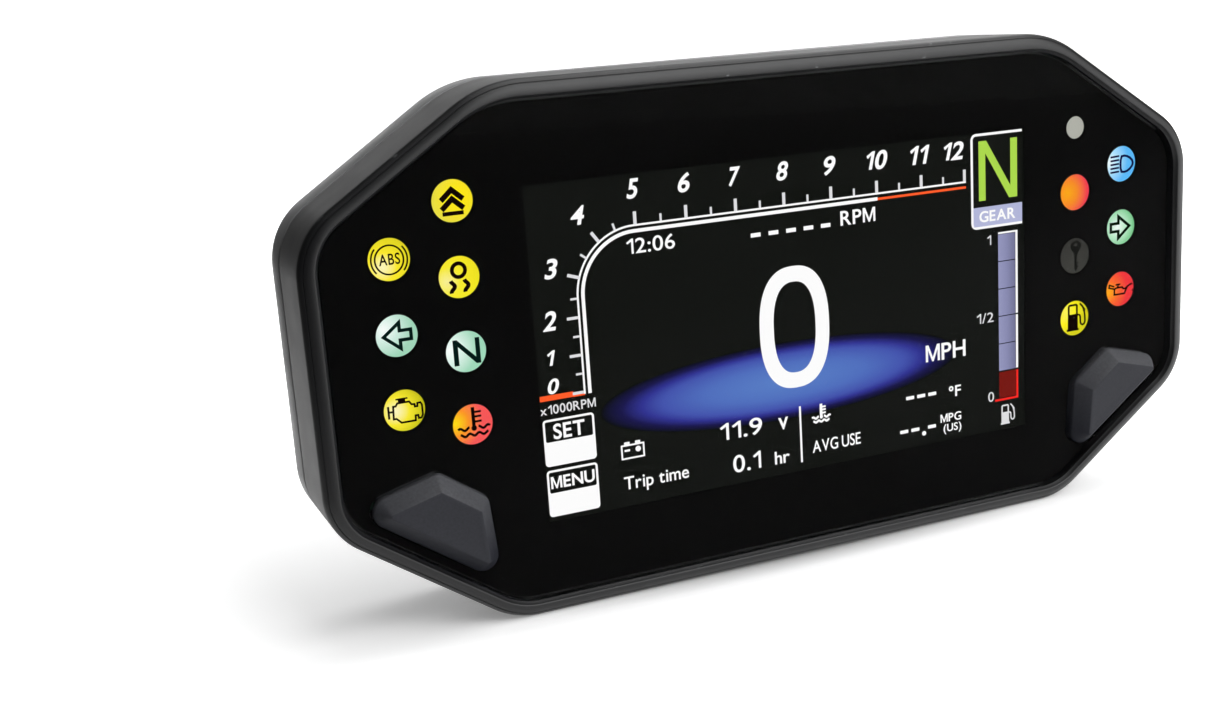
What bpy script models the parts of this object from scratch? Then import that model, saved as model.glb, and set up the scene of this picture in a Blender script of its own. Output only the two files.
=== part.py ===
"""Motorcycle instrument cluster: a sealed housing with a TFT display, tell-tale lamps and two
rubber buttons. Sizes are in millimetres and become metres when the meshes are built.

Every shape is drawn in cluster coordinates: X to the rider's right, DEPTH backwards from the
lens plane, and Z upwards from the middle of the display. The empty cluster_origin carries them
to the row frame, where the cluster stands on its flat bottom edge with its face towards -Y."""

import math

import bmesh
import bpy
from mathutils import Matrix, Vector

MM = 0.001

# Outline of the lens: an octagon, symmetric about X = 0, with rounded corners.
LENS_TOP, LENS_SIDE, LENS_BOTTOM = 45.95, 91.4, 44.8
TOP_CORNER_X, SIDE_TOP_Z, SIDE_BOTTOM_Z, BOTTOM_CORNER_X = 59.8, 25.2, -23.5, 61.2
CORNER_RADII = (20.0, 10.0, 9.0, 12.0)  # top, upper side, lower side, bottom
CORNER_STEPS = 5

# How far the housing stands outside the lens, at the top, upper, side, lower and bottom edges.
SHELL = (3.9, 3.3, 3.8, 3.5, 3.5)
WALL = 2.2
SEAT_WALL = 4.0  # wall thickness in front of the seal
RIM_RADIUS = 1.9
LEDGE_REACH = (-3.2, -3.2, -3.2, -1.5, -3.2)
SEAL_REACH = (-2.7, -2.7, -2.7, -1.1, -2.7)

# Depths, from front to back.
RIM_FRONT = -0.3
LENS_FRONT, LENS_BACK = 0.4, 1.6
GAP = 0.3  # left between pieces that touch
FILM_FRONT, FILM_BACK = 1.9, 2.1
LEDGE_FRONT, LEDGE_BACK = 2.8, 4.3
PANEL_FRONT, PANEL_BACK = 2.4, 4.2
GUIDE_BACK = 6.7
TRAY_FLOOR, TRAY_BACK = 7.0, 7.6
BOARD_FRONT, BOARD_BACK = 9.2, 10.8
SEAL_FRONT, SEAL_BACK = 12.8, 14.2
SEAM = 17.0
COVER_INSIDE, COVER_BACK = 24.0, 26.0
COVER_EDGE_RADIUS = 3.0
BOSS_BACK = 29.0
SOCKET_BACK = 33.0

# Display: a 5 inch panel with a 15:9 active area.
PANEL_SIZE = (120.6, 75.8)
PANEL_CENTRE_Z = 0.6
WINDOW_SIZE = (108.0, 62.4)

# Tell-tale lamps: two staggered columns on each side.
INNER_COLUMN_X, OUTER_COLUMN_X = 66.93, 79.05
INNER_TOP_Z, OUTER_TOP_Z = 30.08, 21.37
LAMP_PITCH = 13.363
LAMP_RADIUS, SENSOR_RADIUS, BAFFLE_BORE = 3.73, 2.29, 4.0

# Buttons: an isosceles trapezoid with its long edge parallel to the lower corner of the lens.
PAD_LONG, PAD_SHORT, PAD_HEIGHT = 32.4, 10.8, 12.8
PAD_INSET = 1.9  # from the lens edge to the long edge
PAD_ALONG = 2.8  # from the middle of the lens edge to the middle of the long edge, outwards
PAD_PROUD = 2.6
PAD_SLOPE = 2.3
PAD_RADII = (2.9, 2.9, 2.2, 2.2)
BUTTON_TRAVEL = 0.9
SWITCH_SIDE, WELL_RADIUS, STEM_RADIUS = 6.2, 2.05, 1.7

# Fasteners.
POST_REACH = -3.6
POST_RADIUS, REAR_BOSS_RADIUS = 2.5, 3.4
POST_PLACES_X = 36.0
STANDOFF_X, STANDOFF_TOP_Z, STANDOFF_BOTTOM_Z, STANDOFF_RADIUS = 52.0, 41.8, -40.6, 2.0
MOUNT_PLACES = ((-40.0, 24.0), (40.0, 24.0), (0.0, -35.5))
MOUNT_BOSS_RADIUS, INSERT_RADIUS, INSERT_BORE, INSERT_LENGTH = 7.0, 3.6, 2.5, 8.0
CASE_SHANK, CASE_HEAD, CASE_PILOT, CASE_POCKET = 1.1, 2.1, 1.4, 2.5  # radii
BOARD_SHANK, BOARD_HEAD, BOARD_PILOT, BOARD_HOLE = 0.8, 1.8, 1.1, 1.3  # radii
CASE_SEAT = 21.0  # depth of the floor under a case screw's head
CASE_PILOT_FRONT, BOARD_PILOT_FRONT = 7.0, 5.0

# Rear socket and breather.
SOCKET_Z, SOCKET_HALF, SOCKET_WALL = -8.0, (17.0, 8.0), 1.8
PINS_IN_ROW, PIN_PITCH, PIN_BACK = 8, 3.4, 28.3
BREATHER_PLACE, BREATHER_STEM, BREATHER_HOLE, BREATHER_HEAD = (58.0, -2.0), 1.6, 2.0, 4.2

# Board parts: places and sizes.
CHIP_PLACE, CHIP_SIZE, CHIP_HEIGHT = (-34.0, 4.0), (14.0, 14.0), 1.4
FLEX_SOCKET_PLACE, FLEX_SOCKET_SIZE, FLEX_SOCKET_HEIGHT = (0.0, -34.0), (32.0, 4.0), 2.0
BUZZER_PLACE, BUZZER_RADIUS, BUZZER_HEIGHT = (32.0, -24.0), 6.0, 6.4
CAN_PLACE, CAN_RADIUS, CAN_HEIGHT = (-30.0, -22.0), 4.0, 7.8
LED_SIZE, SENSOR_SIZE, LED_HEIGHT = (3.5, 2.8), (2.0, 2.0), 1.7

# The display centre stands this far above the bottom edge, and the box is centred on Y = 0.
DISPLAY_HEIGHT = LENS_BOTTOM + SHELL[4]
FRONT_DEPTH = LENS_FRONT - PAD_PROUD - 0.4
CENTRE_DEPTH = (FRONT_DEPTH + SOCKET_BACK) / 2


# ---------------------------------------------------------------- scene and materials

def clear_scene():
    for thing in list(bpy.data.objects):
        bpy.data.objects.remove(thing, do_unlink=True)


def make_material(name, color, roughness, metallic=0.0, alpha=1.0):
    material = bpy.data.materials.new(name)
    material.use_nodes = True
    shader = material.node_tree.nodes["Principled BSDF"]
    shader.inputs["Base Color"].default_value = (*color, 1.0)
    shader.inputs["Roughness"].default_value = roughness
    shader.inputs["Metallic"].default_value = metallic
    shader.inputs["Alpha"].default_value = alpha
    return material


def make_empty(name, place, parent=None):
    empty = bpy.data.objects.new(name, None)
    empty.location = Vector(place) * MM
    empty.parent = parent
    bpy.context.collection.objects.link(empty)
    return empty


def add_object(name, data, material, parent, place=(0.0, 0.0, 0.0)):
    thing = bpy.data.objects.new(name, data)
    thing.location = Vector(place) * MM
    thing.parent = parent
    if material:
        data.materials.clear()
        data.materials.append(material)
    bpy.context.collection.objects.link(thing)
    return thing


def finish_mesh(name, shape):
    """Turns a bmesh in millimetres into a smooth-shaded mesh in metres."""
    bmesh.ops.recalc_face_normals(shape, faces=shape.faces)
    bmesh.ops.scale(shape, vec=(MM, MM, MM), verts=shape.verts)
    mesh = bpy.data.meshes.new(name)
    shape.to_mesh(mesh)
    shape.free()
    mesh.shade_smooth()
    mesh.set_sharp_from_angle(angle=math.radians(35))
    return mesh


def add_cutter(name, mesh, parent):
    cutter = add_object(name, mesh, None, parent)
    cutter.hide_render = True
    cutter.display_type = "WIRE"
    return cutter


def boolean(thing, operation, other):
    modifier = thing.modifiers.new(other.name, "BOOLEAN")
    modifier.operation = operation
    modifier.object = other


# ---------------------------------------------------------------- outlines in X and Z

def edge_line(start, end):
    """The edge through two points as (outward normal, distance); the points run clockwise."""
    along = (Vector(end) - Vector(start)).normalized()
    normal = Vector((-along.y, along.x))
    return normal, normal.dot(Vector(start))


def crossing(first, second):
    (n1, d1), (n2, d2) = first, second
    det = n1.x * n2.y - n1.y * n2.x
    return Vector(((d1 * n2.y - d2 * n1.y) / det, (n1.x * d2 - n2.x * d1) / det))


def rounded(corners, radii, steps):
    """A closed outline with an arc of the given radius at each corner."""
    points = []
    for i, corner in enumerate(corners):
        before = (corners[i - 1] - corner).normalized()
        after = (corners[(i + 1) % len(corners)] - corner).normalized()
        half = before.angle(after) / 2
        centre = corner + (before + after).normalized() * radii[i] / math.sin(half)
        first = corner + before * radii[i] / math.tan(half) - centre
        last = corner + after * radii[i] / math.tan(half) - centre
        turn = first.angle_signed(last)
        for step in range(steps + 1):
            arm = first.copy()
            arm.rotate(Matrix.Rotation(-turn * step / steps, 2))
            points.append(centre + arm)
    return points


def octagon(grow):
    """The lens octagon with each edge moved outwards: top, upper, side, lower, bottom."""
    if not isinstance(grow, tuple):
        grow = (grow,) * 5
    right = [
        (TOP_CORNER_X, LENS_TOP),
        (LENS_SIDE, SIDE_TOP_Z),
        (LENS_SIDE, SIDE_BOTTOM_Z),
        (BOTTOM_CORNER_X, -LENS_BOTTOM),
    ]
    ring = [(-TOP_CORNER_X, LENS_TOP)] + right + [(-BOTTOM_CORNER_X, -LENS_BOTTOM)]
    lines = [edge_line(ring[i], ring[i + 1]) for i in range(5)]
    lines = [(normal, distance + grow[i]) for i, (normal, distance) in enumerate(lines)]
    half = [crossing(lines[i], lines[i + 1]) for i in range(4)]
    corners = half + [Vector((-p.x, p.y)) for p in reversed(half)]
    spread = [(grow[i] + grow[i + 1]) / 2 for i in range(4)]
    radii = [max(1.0, CORNER_RADII[i] + spread[i]) for i in range(4)]
    return rounded(corners, radii + radii[::-1], CORNER_STEPS)


def shell(inset):
    """The growth that gives the housing's outer outline, moved inwards by inset."""
    return tuple(edge - inset for edge in SHELL)


def lower_edge():
    """The lower right edge of the lens: its middle, the way along it and the way out of it."""
    start = Vector((BOTTOM_CORNER_X, -LENS_BOTTOM))
    end = Vector((LENS_SIDE, SIDE_BOTTOM_Z))
    along = (end - start).normalized()
    return (start + end) / 2, along, Vector((along.y, -along.x))


def pad_outline(grow_long, grow_rest, radii=PAD_RADII, steps=3):
    """The right button's outline, grown at its long edge and at its other edges."""
    middle, along, out = lower_edge()
    base = middle - out * PAD_INSET + along * PAD_ALONG
    ends = [
        base + along * PAD_LONG / 2,
        base - along * PAD_LONG / 2,
        base - along * PAD_SHORT / 2 - out * PAD_HEIGHT,
        base + along * PAD_SHORT / 2 - out * PAD_HEIGHT,
    ]
    lines = [edge_line(ends[i], ends[(i + 1) % 4]) for i in range(4)]
    grow = (grow_long, grow_rest, grow_rest, grow_rest)
    lines = [(normal, distance + grow[i]) for i, (normal, distance) in enumerate(lines)]
    corners = [crossing(lines[i - 1], lines[i]) for i in range(4)]
    return rounded(corners, [max(0.4, r + grow_rest) for r in radii], steps)


def pad_centre():
    middle, along, out = lower_edge()
    reach = PAD_HEIGHT * (PAD_LONG + 2 * PAD_SHORT) / (PAD_LONG + PAD_SHORT) / 3
    return middle - out * (PAD_INSET + reach) + along * PAD_ALONG


def circle(centre, radius, steps=16):
    turns = [2 * math.pi * i / steps for i in range(steps)]
    x, z = centre
    return [Vector((x + radius * math.cos(turn), z + radius * math.sin(turn))) for turn in turns]


def rectangle(centre, size):
    x, z, w, h = *centre, size[0] / 2, size[1] / 2
    return [Vector(p) for p in ((x - w, z - h), (x + w, z - h), (x + w, z + h), (x - w, z + h))]


def mirrored(outline):
    return [Vector((-p.x, p.y)) for p in reversed(outline)]


# ---------------------------------------------------------------- solids

def loft(shape, rings, closed=False):
    """Joins rings of equally many points, each an (outline, depth) pair. The ends are capped,
    or joined to each other where the section is closed."""
    loops = [[shape.verts.new((p.x, depth, p.y)) for p in outline] for outline, depth in rings]
    pairs = list(zip(loops, loops[1:]))
    if closed:
        pairs.append((loops[-1], loops[0]))
    else:
        shape.faces.new(loops[0])
        shape.faces.new(loops[-1])
    for near, far in pairs:
        count = len(near)
        for i in range(count):
            shape.faces.new((near[i], near[(i + 1) % count], far[(i + 1) % count], far[i]))


def lofted(name, rings, closed=False):
    shape = bmesh.new()
    loft(shape, rings, closed)
    return finish_mesh(name, shape)


def prisms(name, pieces):
    """One mesh of separate prisms, each an (outline, front depth, back depth)."""
    shape = bmesh.new()
    for outline, front, back in pieces:
        loft(shape, [(outline, front), (outline, back)])
    return finish_mesh(name, shape)


def turned(name, profile, steps=12):
    """A body of revolution about the depth axis: (radius, depth) pairs, capped at both ends."""
    return lofted(name, [(circle((0, 0), radius, steps), depth) for radius, depth in profile])


def plate(name, outlines, front, back, material, parent):
    """A flat plate: the first outline is its edge and the others are holes through it."""
    shape = bmesh.new()
    edges = []
    for outline in outlines:
        loop = [shape.verts.new((p.x, front, p.y)) for p in outline]
        edges += [shape.edges.new((loop[i - 1], loop[i])) for i in range(len(loop))]
    bmesh.ops.triangle_fill(shape, edges=edges, use_beauty=True)
    grown = bmesh.ops.extrude_face_region(shape, geom=list(shape.faces))
    moved = [item for item in grown["geom"] if isinstance(item, bmesh.types.BMVert)]
    bmesh.ops.translate(shape, vec=(0.0, back - front, 0.0), verts=moved)
    return add_object(name, finish_mesh(name, shape), material, parent)


def box(name, centre, size, front, back, material, parent, bevel=0.0):
    mesh = prisms(name, [(rectangle(centre, size), front, back)])
    thing = add_object(name, mesh, material, parent)
    if bevel:
        modifier = thing.modifiers.new("edges", "BEVEL")
        modifier.width = bevel * MM
        modifier.segments = 1
    return thing


# ---------------------------------------------------------------- places of repeated things

def lamp_places(side):
    """Seven places on one side (-1 left, 1 right), the inner column first, top to bottom."""
    inner = [(side * INNER_COLUMN_X, INNER_TOP_Z - LAMP_PITCH * row) for row in range(4)]
    outer = [(side * OUTER_COLUMN_X, OUTER_TOP_Z - LAMP_PITCH * row) for row in range(3)]
    return inner + outer


def post_places():
    top = LENS_TOP + POST_REACH
    side = LENS_SIDE + POST_REACH
    bottom = -LENS_BOTTOM - POST_REACH
    return [(x * POST_PLACES_X, z) for z in (top, bottom) for x in (-1, 1)] + [(-side, 0.0), (side, 0.0)]


def standoff_places():
    return [(x * STANDOFF_X, z) for z in (STANDOFF_TOP_Z, STANDOFF_BOTTOM_Z) for x in (-1, 1)]


# ---------------------------------------------------------------- housing

def front_housing(plastic, origin):
    """Rim, ledge for the lens, side wall and seat for the seal, swept round the octagon."""
    fillet = []
    for step in range(1, 4):
        turn = math.radians(30 * step)
        inset = RIM_RADIUS * (1 - math.sin(turn))
        fillet.append((octagon(shell(inset)), RIM_FRONT + RIM_RADIUS * (1 - math.cos(turn))))
    seat = SEAL_FRONT - GAP
    section = [
        (octagon(0.4), LEDGE_FRONT),
        (octagon(0.4), 0.2),
        (octagon(0.9), RIM_FRONT),
        (octagon(shell(RIM_RADIUS)), RIM_FRONT),
        *fillet,
        (octagon(SHELL), SEAM),
        (octagon(shell(WALL)), SEAM),
        (octagon(shell(WALL)), seat),
        (octagon(shell(SEAT_WALL)), seat),
        (octagon(shell(SEAT_WALL)), LEDGE_BACK),
        (octagon(LEDGE_REACH), LEDGE_BACK),
        (octagon(LEDGE_REACH), LEDGE_FRONT),
    ]
    housing = add_object("front_housing", lofted("front_housing", section, True), plastic, origin)
    root = LEDGE_FRONT + 0.5
    posts = [(circle(p, POST_RADIUS, 12), root, SEAM - 1.0) for p in post_places()]
    posts += [(circle(p, STANDOFF_RADIUS, 12), root, BOARD_FRONT - GAP) for p in standoff_places()]
    pilots = [(circle(p, CASE_PILOT, 8), CASE_PILOT_FRONT, SEAM) for p in post_places()]
    pilots += [(circle(p, BOARD_PILOT, 8), BOARD_PILOT_FRONT, BOARD_FRONT) for p in standoff_places()]
    boolean(housing, "UNION", add_cutter("housing_posts", prisms("housing_posts", posts), origin))
    boolean(housing, "DIFFERENCE", add_cutter("housing_pilots", prisms("housing_pilots", pilots), origin))


def rear_cover(plastic, origin):
    """A shallow tub with a spigot, screw bosses, mount bosses and the socket's opening."""
    edge = []
    for step in range(0, 4):
        turn = math.radians(30 * step)
        inset = COVER_EDGE_RADIUS * (1 - math.cos(turn))
        depth = COVER_BACK - COVER_EDGE_RADIUS * (1 - math.sin(turn))
        edge.append((octagon(shell(inset)), depth))
    spigot = SEAL_BACK + GAP
    section = [
        (octagon(shell(6.0)), COVER_INSIDE),
        (octagon(shell(4.3)), COVER_INSIDE - 1.7),
        (octagon(shell(SEAT_WALL)), spigot),
        (octagon(shell(WALL + GAP)), spigot),
        (octagon(shell(WALL + GAP)), SEAM + GAP),
        (octagon(SHELL), SEAM + GAP),
        *edge,
    ]
    cover = add_object("rear_cover", lofted("rear_cover", section), plastic, origin)
    inside = COVER_INSIDE + 0.8
    bosses = [(circle(p, REAR_BOSS_RADIUS, 12), SEAM - 0.7, inside) for p in post_places()]
    pocket = BOSS_BACK - INSERT_LENGTH - GAP
    bosses += [(circle(p, MOUNT_BOSS_RADIUS, 24), pocket - 1.5, BOSS_BACK) for p in MOUNT_PLACES]
    boolean(cover, "UNION", add_cutter("cover_bosses", prisms("cover_bosses", bosses), origin))
    holes = [(circle(p, CASE_PILOT, 8), SEAM - 1.0, CASE_SEAT + 0.5) for p in post_places()]
    seats = [(circle(p, CASE_POCKET, 12), CASE_SEAT, COVER_BACK + 1.0) for p in post_places()]
    seats += [(circle(p, INSERT_RADIUS + GAP, 16), pocket, BOSS_BACK + 1.0) for p in MOUNT_PLACES]
    opening = [2 * (half + GAP) for half in SOCKET_HALF]
    seats.append((rectangle((0.0, SOCKET_Z), opening), COVER_INSIDE - 1.0, COVER_BACK + 1.0))
    seats.append((circle(BREATHER_PLACE, BREATHER_HOLE, 12), COVER_INSIDE - 1.0, COVER_BACK + 1.0))
    boolean(cover, "DIFFERENCE", add_cutter("cover_holes", prisms("cover_holes", holes), origin))
    boolean(cover, "DIFFERENCE", add_cutter("cover_seats", prisms("cover_seats", seats), origin))


def seals(rubber, origin):
    lens_seal = [
        (octagon(-0.3), FILM_FRONT),
        (octagon(-0.3), LEDGE_FRONT - GAP),
        (octagon(SEAL_REACH), LEDGE_FRONT - GAP),
        (octagon(SEAL_REACH), FILM_FRONT),
    ]
    add_object("lens_seal", lofted("lens_seal", lens_seal, True), rubber, origin)
    housing_seal = [
        (octagon(shell(WALL + GAP)), SEAL_FRONT),
        (octagon(shell(WALL + GAP)), SEAL_BACK),
        (octagon(shell(SEAT_WALL - 0.1)), SEAL_BACK),
        (octagon(shell(SEAT_WALL - 0.1)), SEAL_FRONT),
    ]
    add_object("housing_seal", lofted("housing_seal", housing_seal, True), rubber, origin)


def lens_and_film(acrylic, film, origin):
    openings = [pad_outline(0.35, 0.35), mirrored(pad_outline(0.35, 0.35))]
    plate("front_lens", [octagon(0.0)] + openings, LENS_FRONT, LENS_BACK, acrylic, origin)
    lamps = [place for side in (-1, 1) for place in lamp_places(side)]
    sensor = lamp_places(1)[0]
    windows = [circle(p, SENSOR_RADIUS if p == sensor else LAMP_RADIUS) for p in lamps]
    windows.append(rectangle((0.0, 0.0), WINDOW_SIZE))
    edge = octagon(tuple(reach - GAP for reach in SEAL_REACH))
    plate("applique", [edge] + openings + windows, FILM_FRONT, FILM_BACK, film, origin)


# ---------------------------------------------------------------- display

def display(materials, origin):
    width, height = PANEL_SIZE
    centre = (0.0, PANEL_CENTRE_Z)
    glass, steel, guide, foam = (materials[k] for k in ("glass", "steel", "guide", "foam"))
    box("display_panel", centre, PANEL_SIZE, PANEL_FRONT, PANEL_BACK, glass, origin)
    size = (width - 0.6, height - 0.6)
    box("backlight_guide", centre, size, PANEL_BACK + GAP, GUIDE_BACK, guide, origin)
    inner = rectangle(centre, (width + 2 * GAP, height + 2 * GAP))
    outer = rectangle(centre, (width + 2.0, height + 2.0))
    tray = [(inner, TRAY_FLOOR), (inner, PANEL_FRONT), (outer, PANEL_FRONT), (outer, TRAY_BACK)]
    add_object("display_frame", lofted("display_frame", tray), steel, origin)
    box("display_pad", (0.0, 8.0), (96.0, 44.0), TRAY_BACK + GAP, BOARD_FRONT - GAP, foam, origin)


def display_flex(film, dark, origin):
    """A ribbon from behind the tray, round the bottom edge of the board, to its socket."""
    path = [
        (-30.0, 8.4), (-42.6, 8.4), (-43.3, 8.7), (-43.6, 9.4),
        (-43.6, 11.0), (-43.2, 11.8), (-42.4, 12.1), (-36.4, 12.1),
    ]
    half, across = 0.12, 14.0
    shape = bmesh.new()
    sides = []
    for i, place in enumerate(path):
        here = Vector(place)
        along = Vector(path[min(i + 1, len(path) - 1)]) - Vector(path[max(i - 1, 0)])
        normal = Vector((-along.y, along.x)).normalized() * half
        sides.append([here + normal, here - normal])
    loops = []
    for upper, lower in sides:
        corners = ((-across, upper), (across, upper), (across, lower), (-across, lower))
        loops.append([shape.verts.new((x, p.y, p.x)) for x, p in corners])
    shape.faces.new(loops[0])
    shape.faces.new(loops[-1])
    for near, far in zip(loops, loops[1:]):
        for i in range(4):
            shape.faces.new((near[i], near[(i + 1) % 4], far[(i + 1) % 4], far[i]))
    add_object("display_flex", finish_mesh("display_flex", shape), film, origin)
    rear = BOARD_BACK + GAP
    back = rear + FLEX_SOCKET_HEIGHT
    box("flex_connector", FLEX_SOCKET_PLACE, FLEX_SOCKET_SIZE, rear, back, dark, origin, bevel=0.3)


# ---------------------------------------------------------------- lamps and board

def lamps(materials, origin):
    for side, word in ((-1, "left"), (1, "right")):
        places = lamp_places(side)
        edge = [
            (62.2, 34.8), (69.5, 34.8), (83.8, 25.4), (83.8, -10.3),
            (72.4, -10.3), (72.4, -15.0), (62.2, -15.0),
        ]
        block = [Vector((side * x, z)) for x, z in edge]
        bores = [circle(p, BAFFLE_BORE) for p in places]
        front = PANEL_FRONT + 0.4 + GAP
        plate("baffle_" + word, [block] + bores, front, BOARD_FRONT - GAP, materials["white"], origin)
        sheet = materials["diffuser"]
        plate("diffuser_" + word, [block], PANEL_FRONT, PANEL_FRONT + 0.4, sheet, origin)
        for number, place in enumerate(places):
            if side == 1 and number == 0:
                name, size, material = "light_sensor", SENSOR_SIZE, materials["dark"]
            else:
                name = f"lamp_led_{word}_{number + 1 - (side == 1)}"
                size, material = LED_SIZE, materials["led"]
            rear = BOARD_FRONT - GAP
            box(name, place, size, rear - LED_HEIGHT, rear, material, origin, bevel=0.25)


def main_board(material, origin):
    mesh = prisms("main_board", [(octagon(-2.0), BOARD_FRONT, BOARD_BACK)])
    board = add_object("main_board", mesh, material, origin)
    depths = (BOARD_FRONT - 1.0, BOARD_BACK + 1.0)
    notches = [(circle(p, POST_RADIUS + 2 * GAP, 12), *depths) for p in post_places()]
    notches += [(circle(p, BOARD_HOLE, 8), *depths) for p in standoff_places()]
    boolean(board, "DIFFERENCE", add_cutter("board_notches", prisms("board_notches", notches), origin))


def board_parts(materials, origin):
    rear = BOARD_BACK + GAP
    dark = materials["dark"]
    box("microcontroller", CHIP_PLACE, CHIP_SIZE, rear, rear + CHIP_HEIGHT, dark, origin, bevel=0.3)
    radius, back = BUZZER_RADIUS, rear + BUZZER_HEIGHT
    profile = [(radius, rear), (radius, back - 0.4), (radius - 0.6, back), (1.2, back), (1.2, back - 1.4)]
    x, z = BUZZER_PLACE
    add_object("buzzer", turned("buzzer", profile, 20), dark, origin, (x, 0.0, z))
    radius, back = CAN_RADIUS, rear + CAN_HEIGHT
    profile = [(radius, rear), (radius, back - 0.4), (radius - 0.4, back)]
    x, z = CAN_PLACE
    add_object("capacitor", turned("capacitor", profile, 16), materials["steel"], origin, (x, 0.0, z))


# ---------------------------------------------------------------- buttons and switches

def button(side, word, rubber, origin):
    """Pad, skirt through the lens, flange behind it and plunger. It slides along +Y."""
    centre = pad_centre()
    turn = mirrored if side < 0 else (lambda outline: outline)
    plateau = LENS_FRONT - PAD_PROUD - 0.4
    slope = PAD_SLOPE
    flange = (LENS_BACK + 0.8, LENS_BACK + 1.8)
    rings = [
        (pad_outline(-slope - 0.5, -slope - 0.5), plateau),
        (pad_outline(-slope + 0.1, -slope + 0.1), plateau + 0.35),
        (pad_outline(-0.2, -0.2), LENS_FRONT - 0.3),
        (pad_outline(0.0, 0.0), LENS_FRONT + 0.1),
        (pad_outline(0.0, 0.0), flange[0]),
        (pad_outline(-0.3, 0.8), flange[0]),
        (pad_outline(-0.3, 0.8), flange[1]),
    ]
    axis = Vector((side * centre.x, centre.y))
    rings = [([p - axis for p in turn(outline)], depth) for outline, depth in rings]
    holder = make_empty("button_" + word + "_axis", (axis.x, 0.0, axis.y), origin)
    pad = add_object("button_" + word, lofted("button_" + word, rings), rubber, holder)
    plunger = prisms("plunger", [(circle((0, 0), 2.5, 12), flange[1] - 0.5, flange[1] + 0.7)])
    plunger_core = add_cutter("plunger_" + word, plunger, holder)
    boolean(pad, "UNION", plunger_core)
    return holder, flange[1] + 0.7


def switch(word, holder, plunger_back, materials):
    """A tact switch: a body with a well, and the stem that the plunger pushes into it."""
    top = plunger_back + GAP
    body_front = top + 1.0
    stem_back = body_front + 1.0
    square = rectangle((0, 0), (SWITCH_SIDE, SWITCH_SIDE))
    body = prisms("switch_body_" + word, [(square, body_front, BOARD_FRONT - GAP)])
    body = add_object("switch_body_" + word, body, materials["dark"], holder)
    well_floor = stem_back + BUTTON_TRAVEL + 0.5
    cut = prisms("switch_well", [(circle((0, 0), WELL_RADIUS, 12), body_front - 1.0, well_floor)])
    boolean(body, "DIFFERENCE", add_cutter("switch_well_" + word, cut, holder))
    stem = [(STEM_RADIUS - 0.3, top), (STEM_RADIUS, top + 0.3), (STEM_RADIUS, stem_back)]
    add_object("switch_stem_" + word, turned("switch_stem", stem), materials["white"], holder)


# ---------------------------------------------------------------- socket, breather, fasteners

def rear_socket(materials, origin):
    dark = materials["dark"]
    half_x, half_z = SOCKET_HALF
    centre = (0.0, SOCKET_Z)
    bore = rectangle(centre, (2 * (half_x - SOCKET_WALL), 2 * (half_z - SOCKET_WALL)))
    tube = rectangle(centre, (2 * half_x, 2 * half_z))
    flange = rectangle(centre, (2 * half_x + 5.0, 2 * half_z + 5.0))
    flange_depths = (COVER_INSIDE - 2.8, COVER_INSIDE - 1.6)
    section = [
        (bore, flange_depths[0]), (bore, SOCKET_BACK), (tube, SOCKET_BACK),
        (tube, flange_depths[1]), (flange, flange_depths[1]), (flange, flange_depths[0]),
    ]
    add_object("connector_shell", lofted("connector_shell", section, True), dark, origin)
    inner = rectangle(centre, (2 * half_x + 2 * GAP, 2 * half_z + 2 * GAP))
    seal_depths = (flange_depths[1] + GAP, COVER_INSIDE - GAP)
    ring = [(inner, depth) for depth in seal_depths] + [(flange, depth) for depth in reversed(seal_depths)]
    add_object("connector_seal", lofted("connector_seal", ring, True), materials["seal"], origin)
    face = 23.0
    size = [2 * (half - SOCKET_WALL - 0.4) for half in SOCKET_HALF]
    header = prisms("connector_header", [(rectangle(centre, size), BOARD_BACK + GAP, face)])
    header = add_object("connector_header", header, dark, origin)
    pins = []
    for row in (-1, 1):
        for number in range(PINS_IN_ROW):
            x = (number - (PINS_IN_ROW - 1) / 2) * PIN_PITCH
            place = (x, SOCKET_Z + row * 2.4)
            pins.append((rectangle(place, (0.9, 0.9)), face - 1.0, PIN_BACK))
    boolean(header, "UNION", add_cutter("socket_pins", prisms("socket_pins", pins), origin))


def breather(materials, origin):
    x, z = BREATHER_PLACE
    front, back = COVER_BACK + GAP, COVER_BACK + 1.9
    cap = [
        (BREATHER_STEM, COVER_INSIDE - 0.2), (BREATHER_STEM, front), (BREATHER_HEAD, front),
        (BREATHER_HEAD, back - 0.6), (BREATHER_HEAD - 0.8, back),
    ]
    add_object("breather_cap", turned("breather_cap", cap, 20), materials["dark"], origin, (x, 0.0, z))
    disc = turned("breather_membrane", [(3.0, COVER_INSIDE - 0.9), (3.0, COVER_INSIDE - 0.5)], 16)
    add_object("breather_membrane", disc, materials["white"], origin, (x, 0.0, z))


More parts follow.
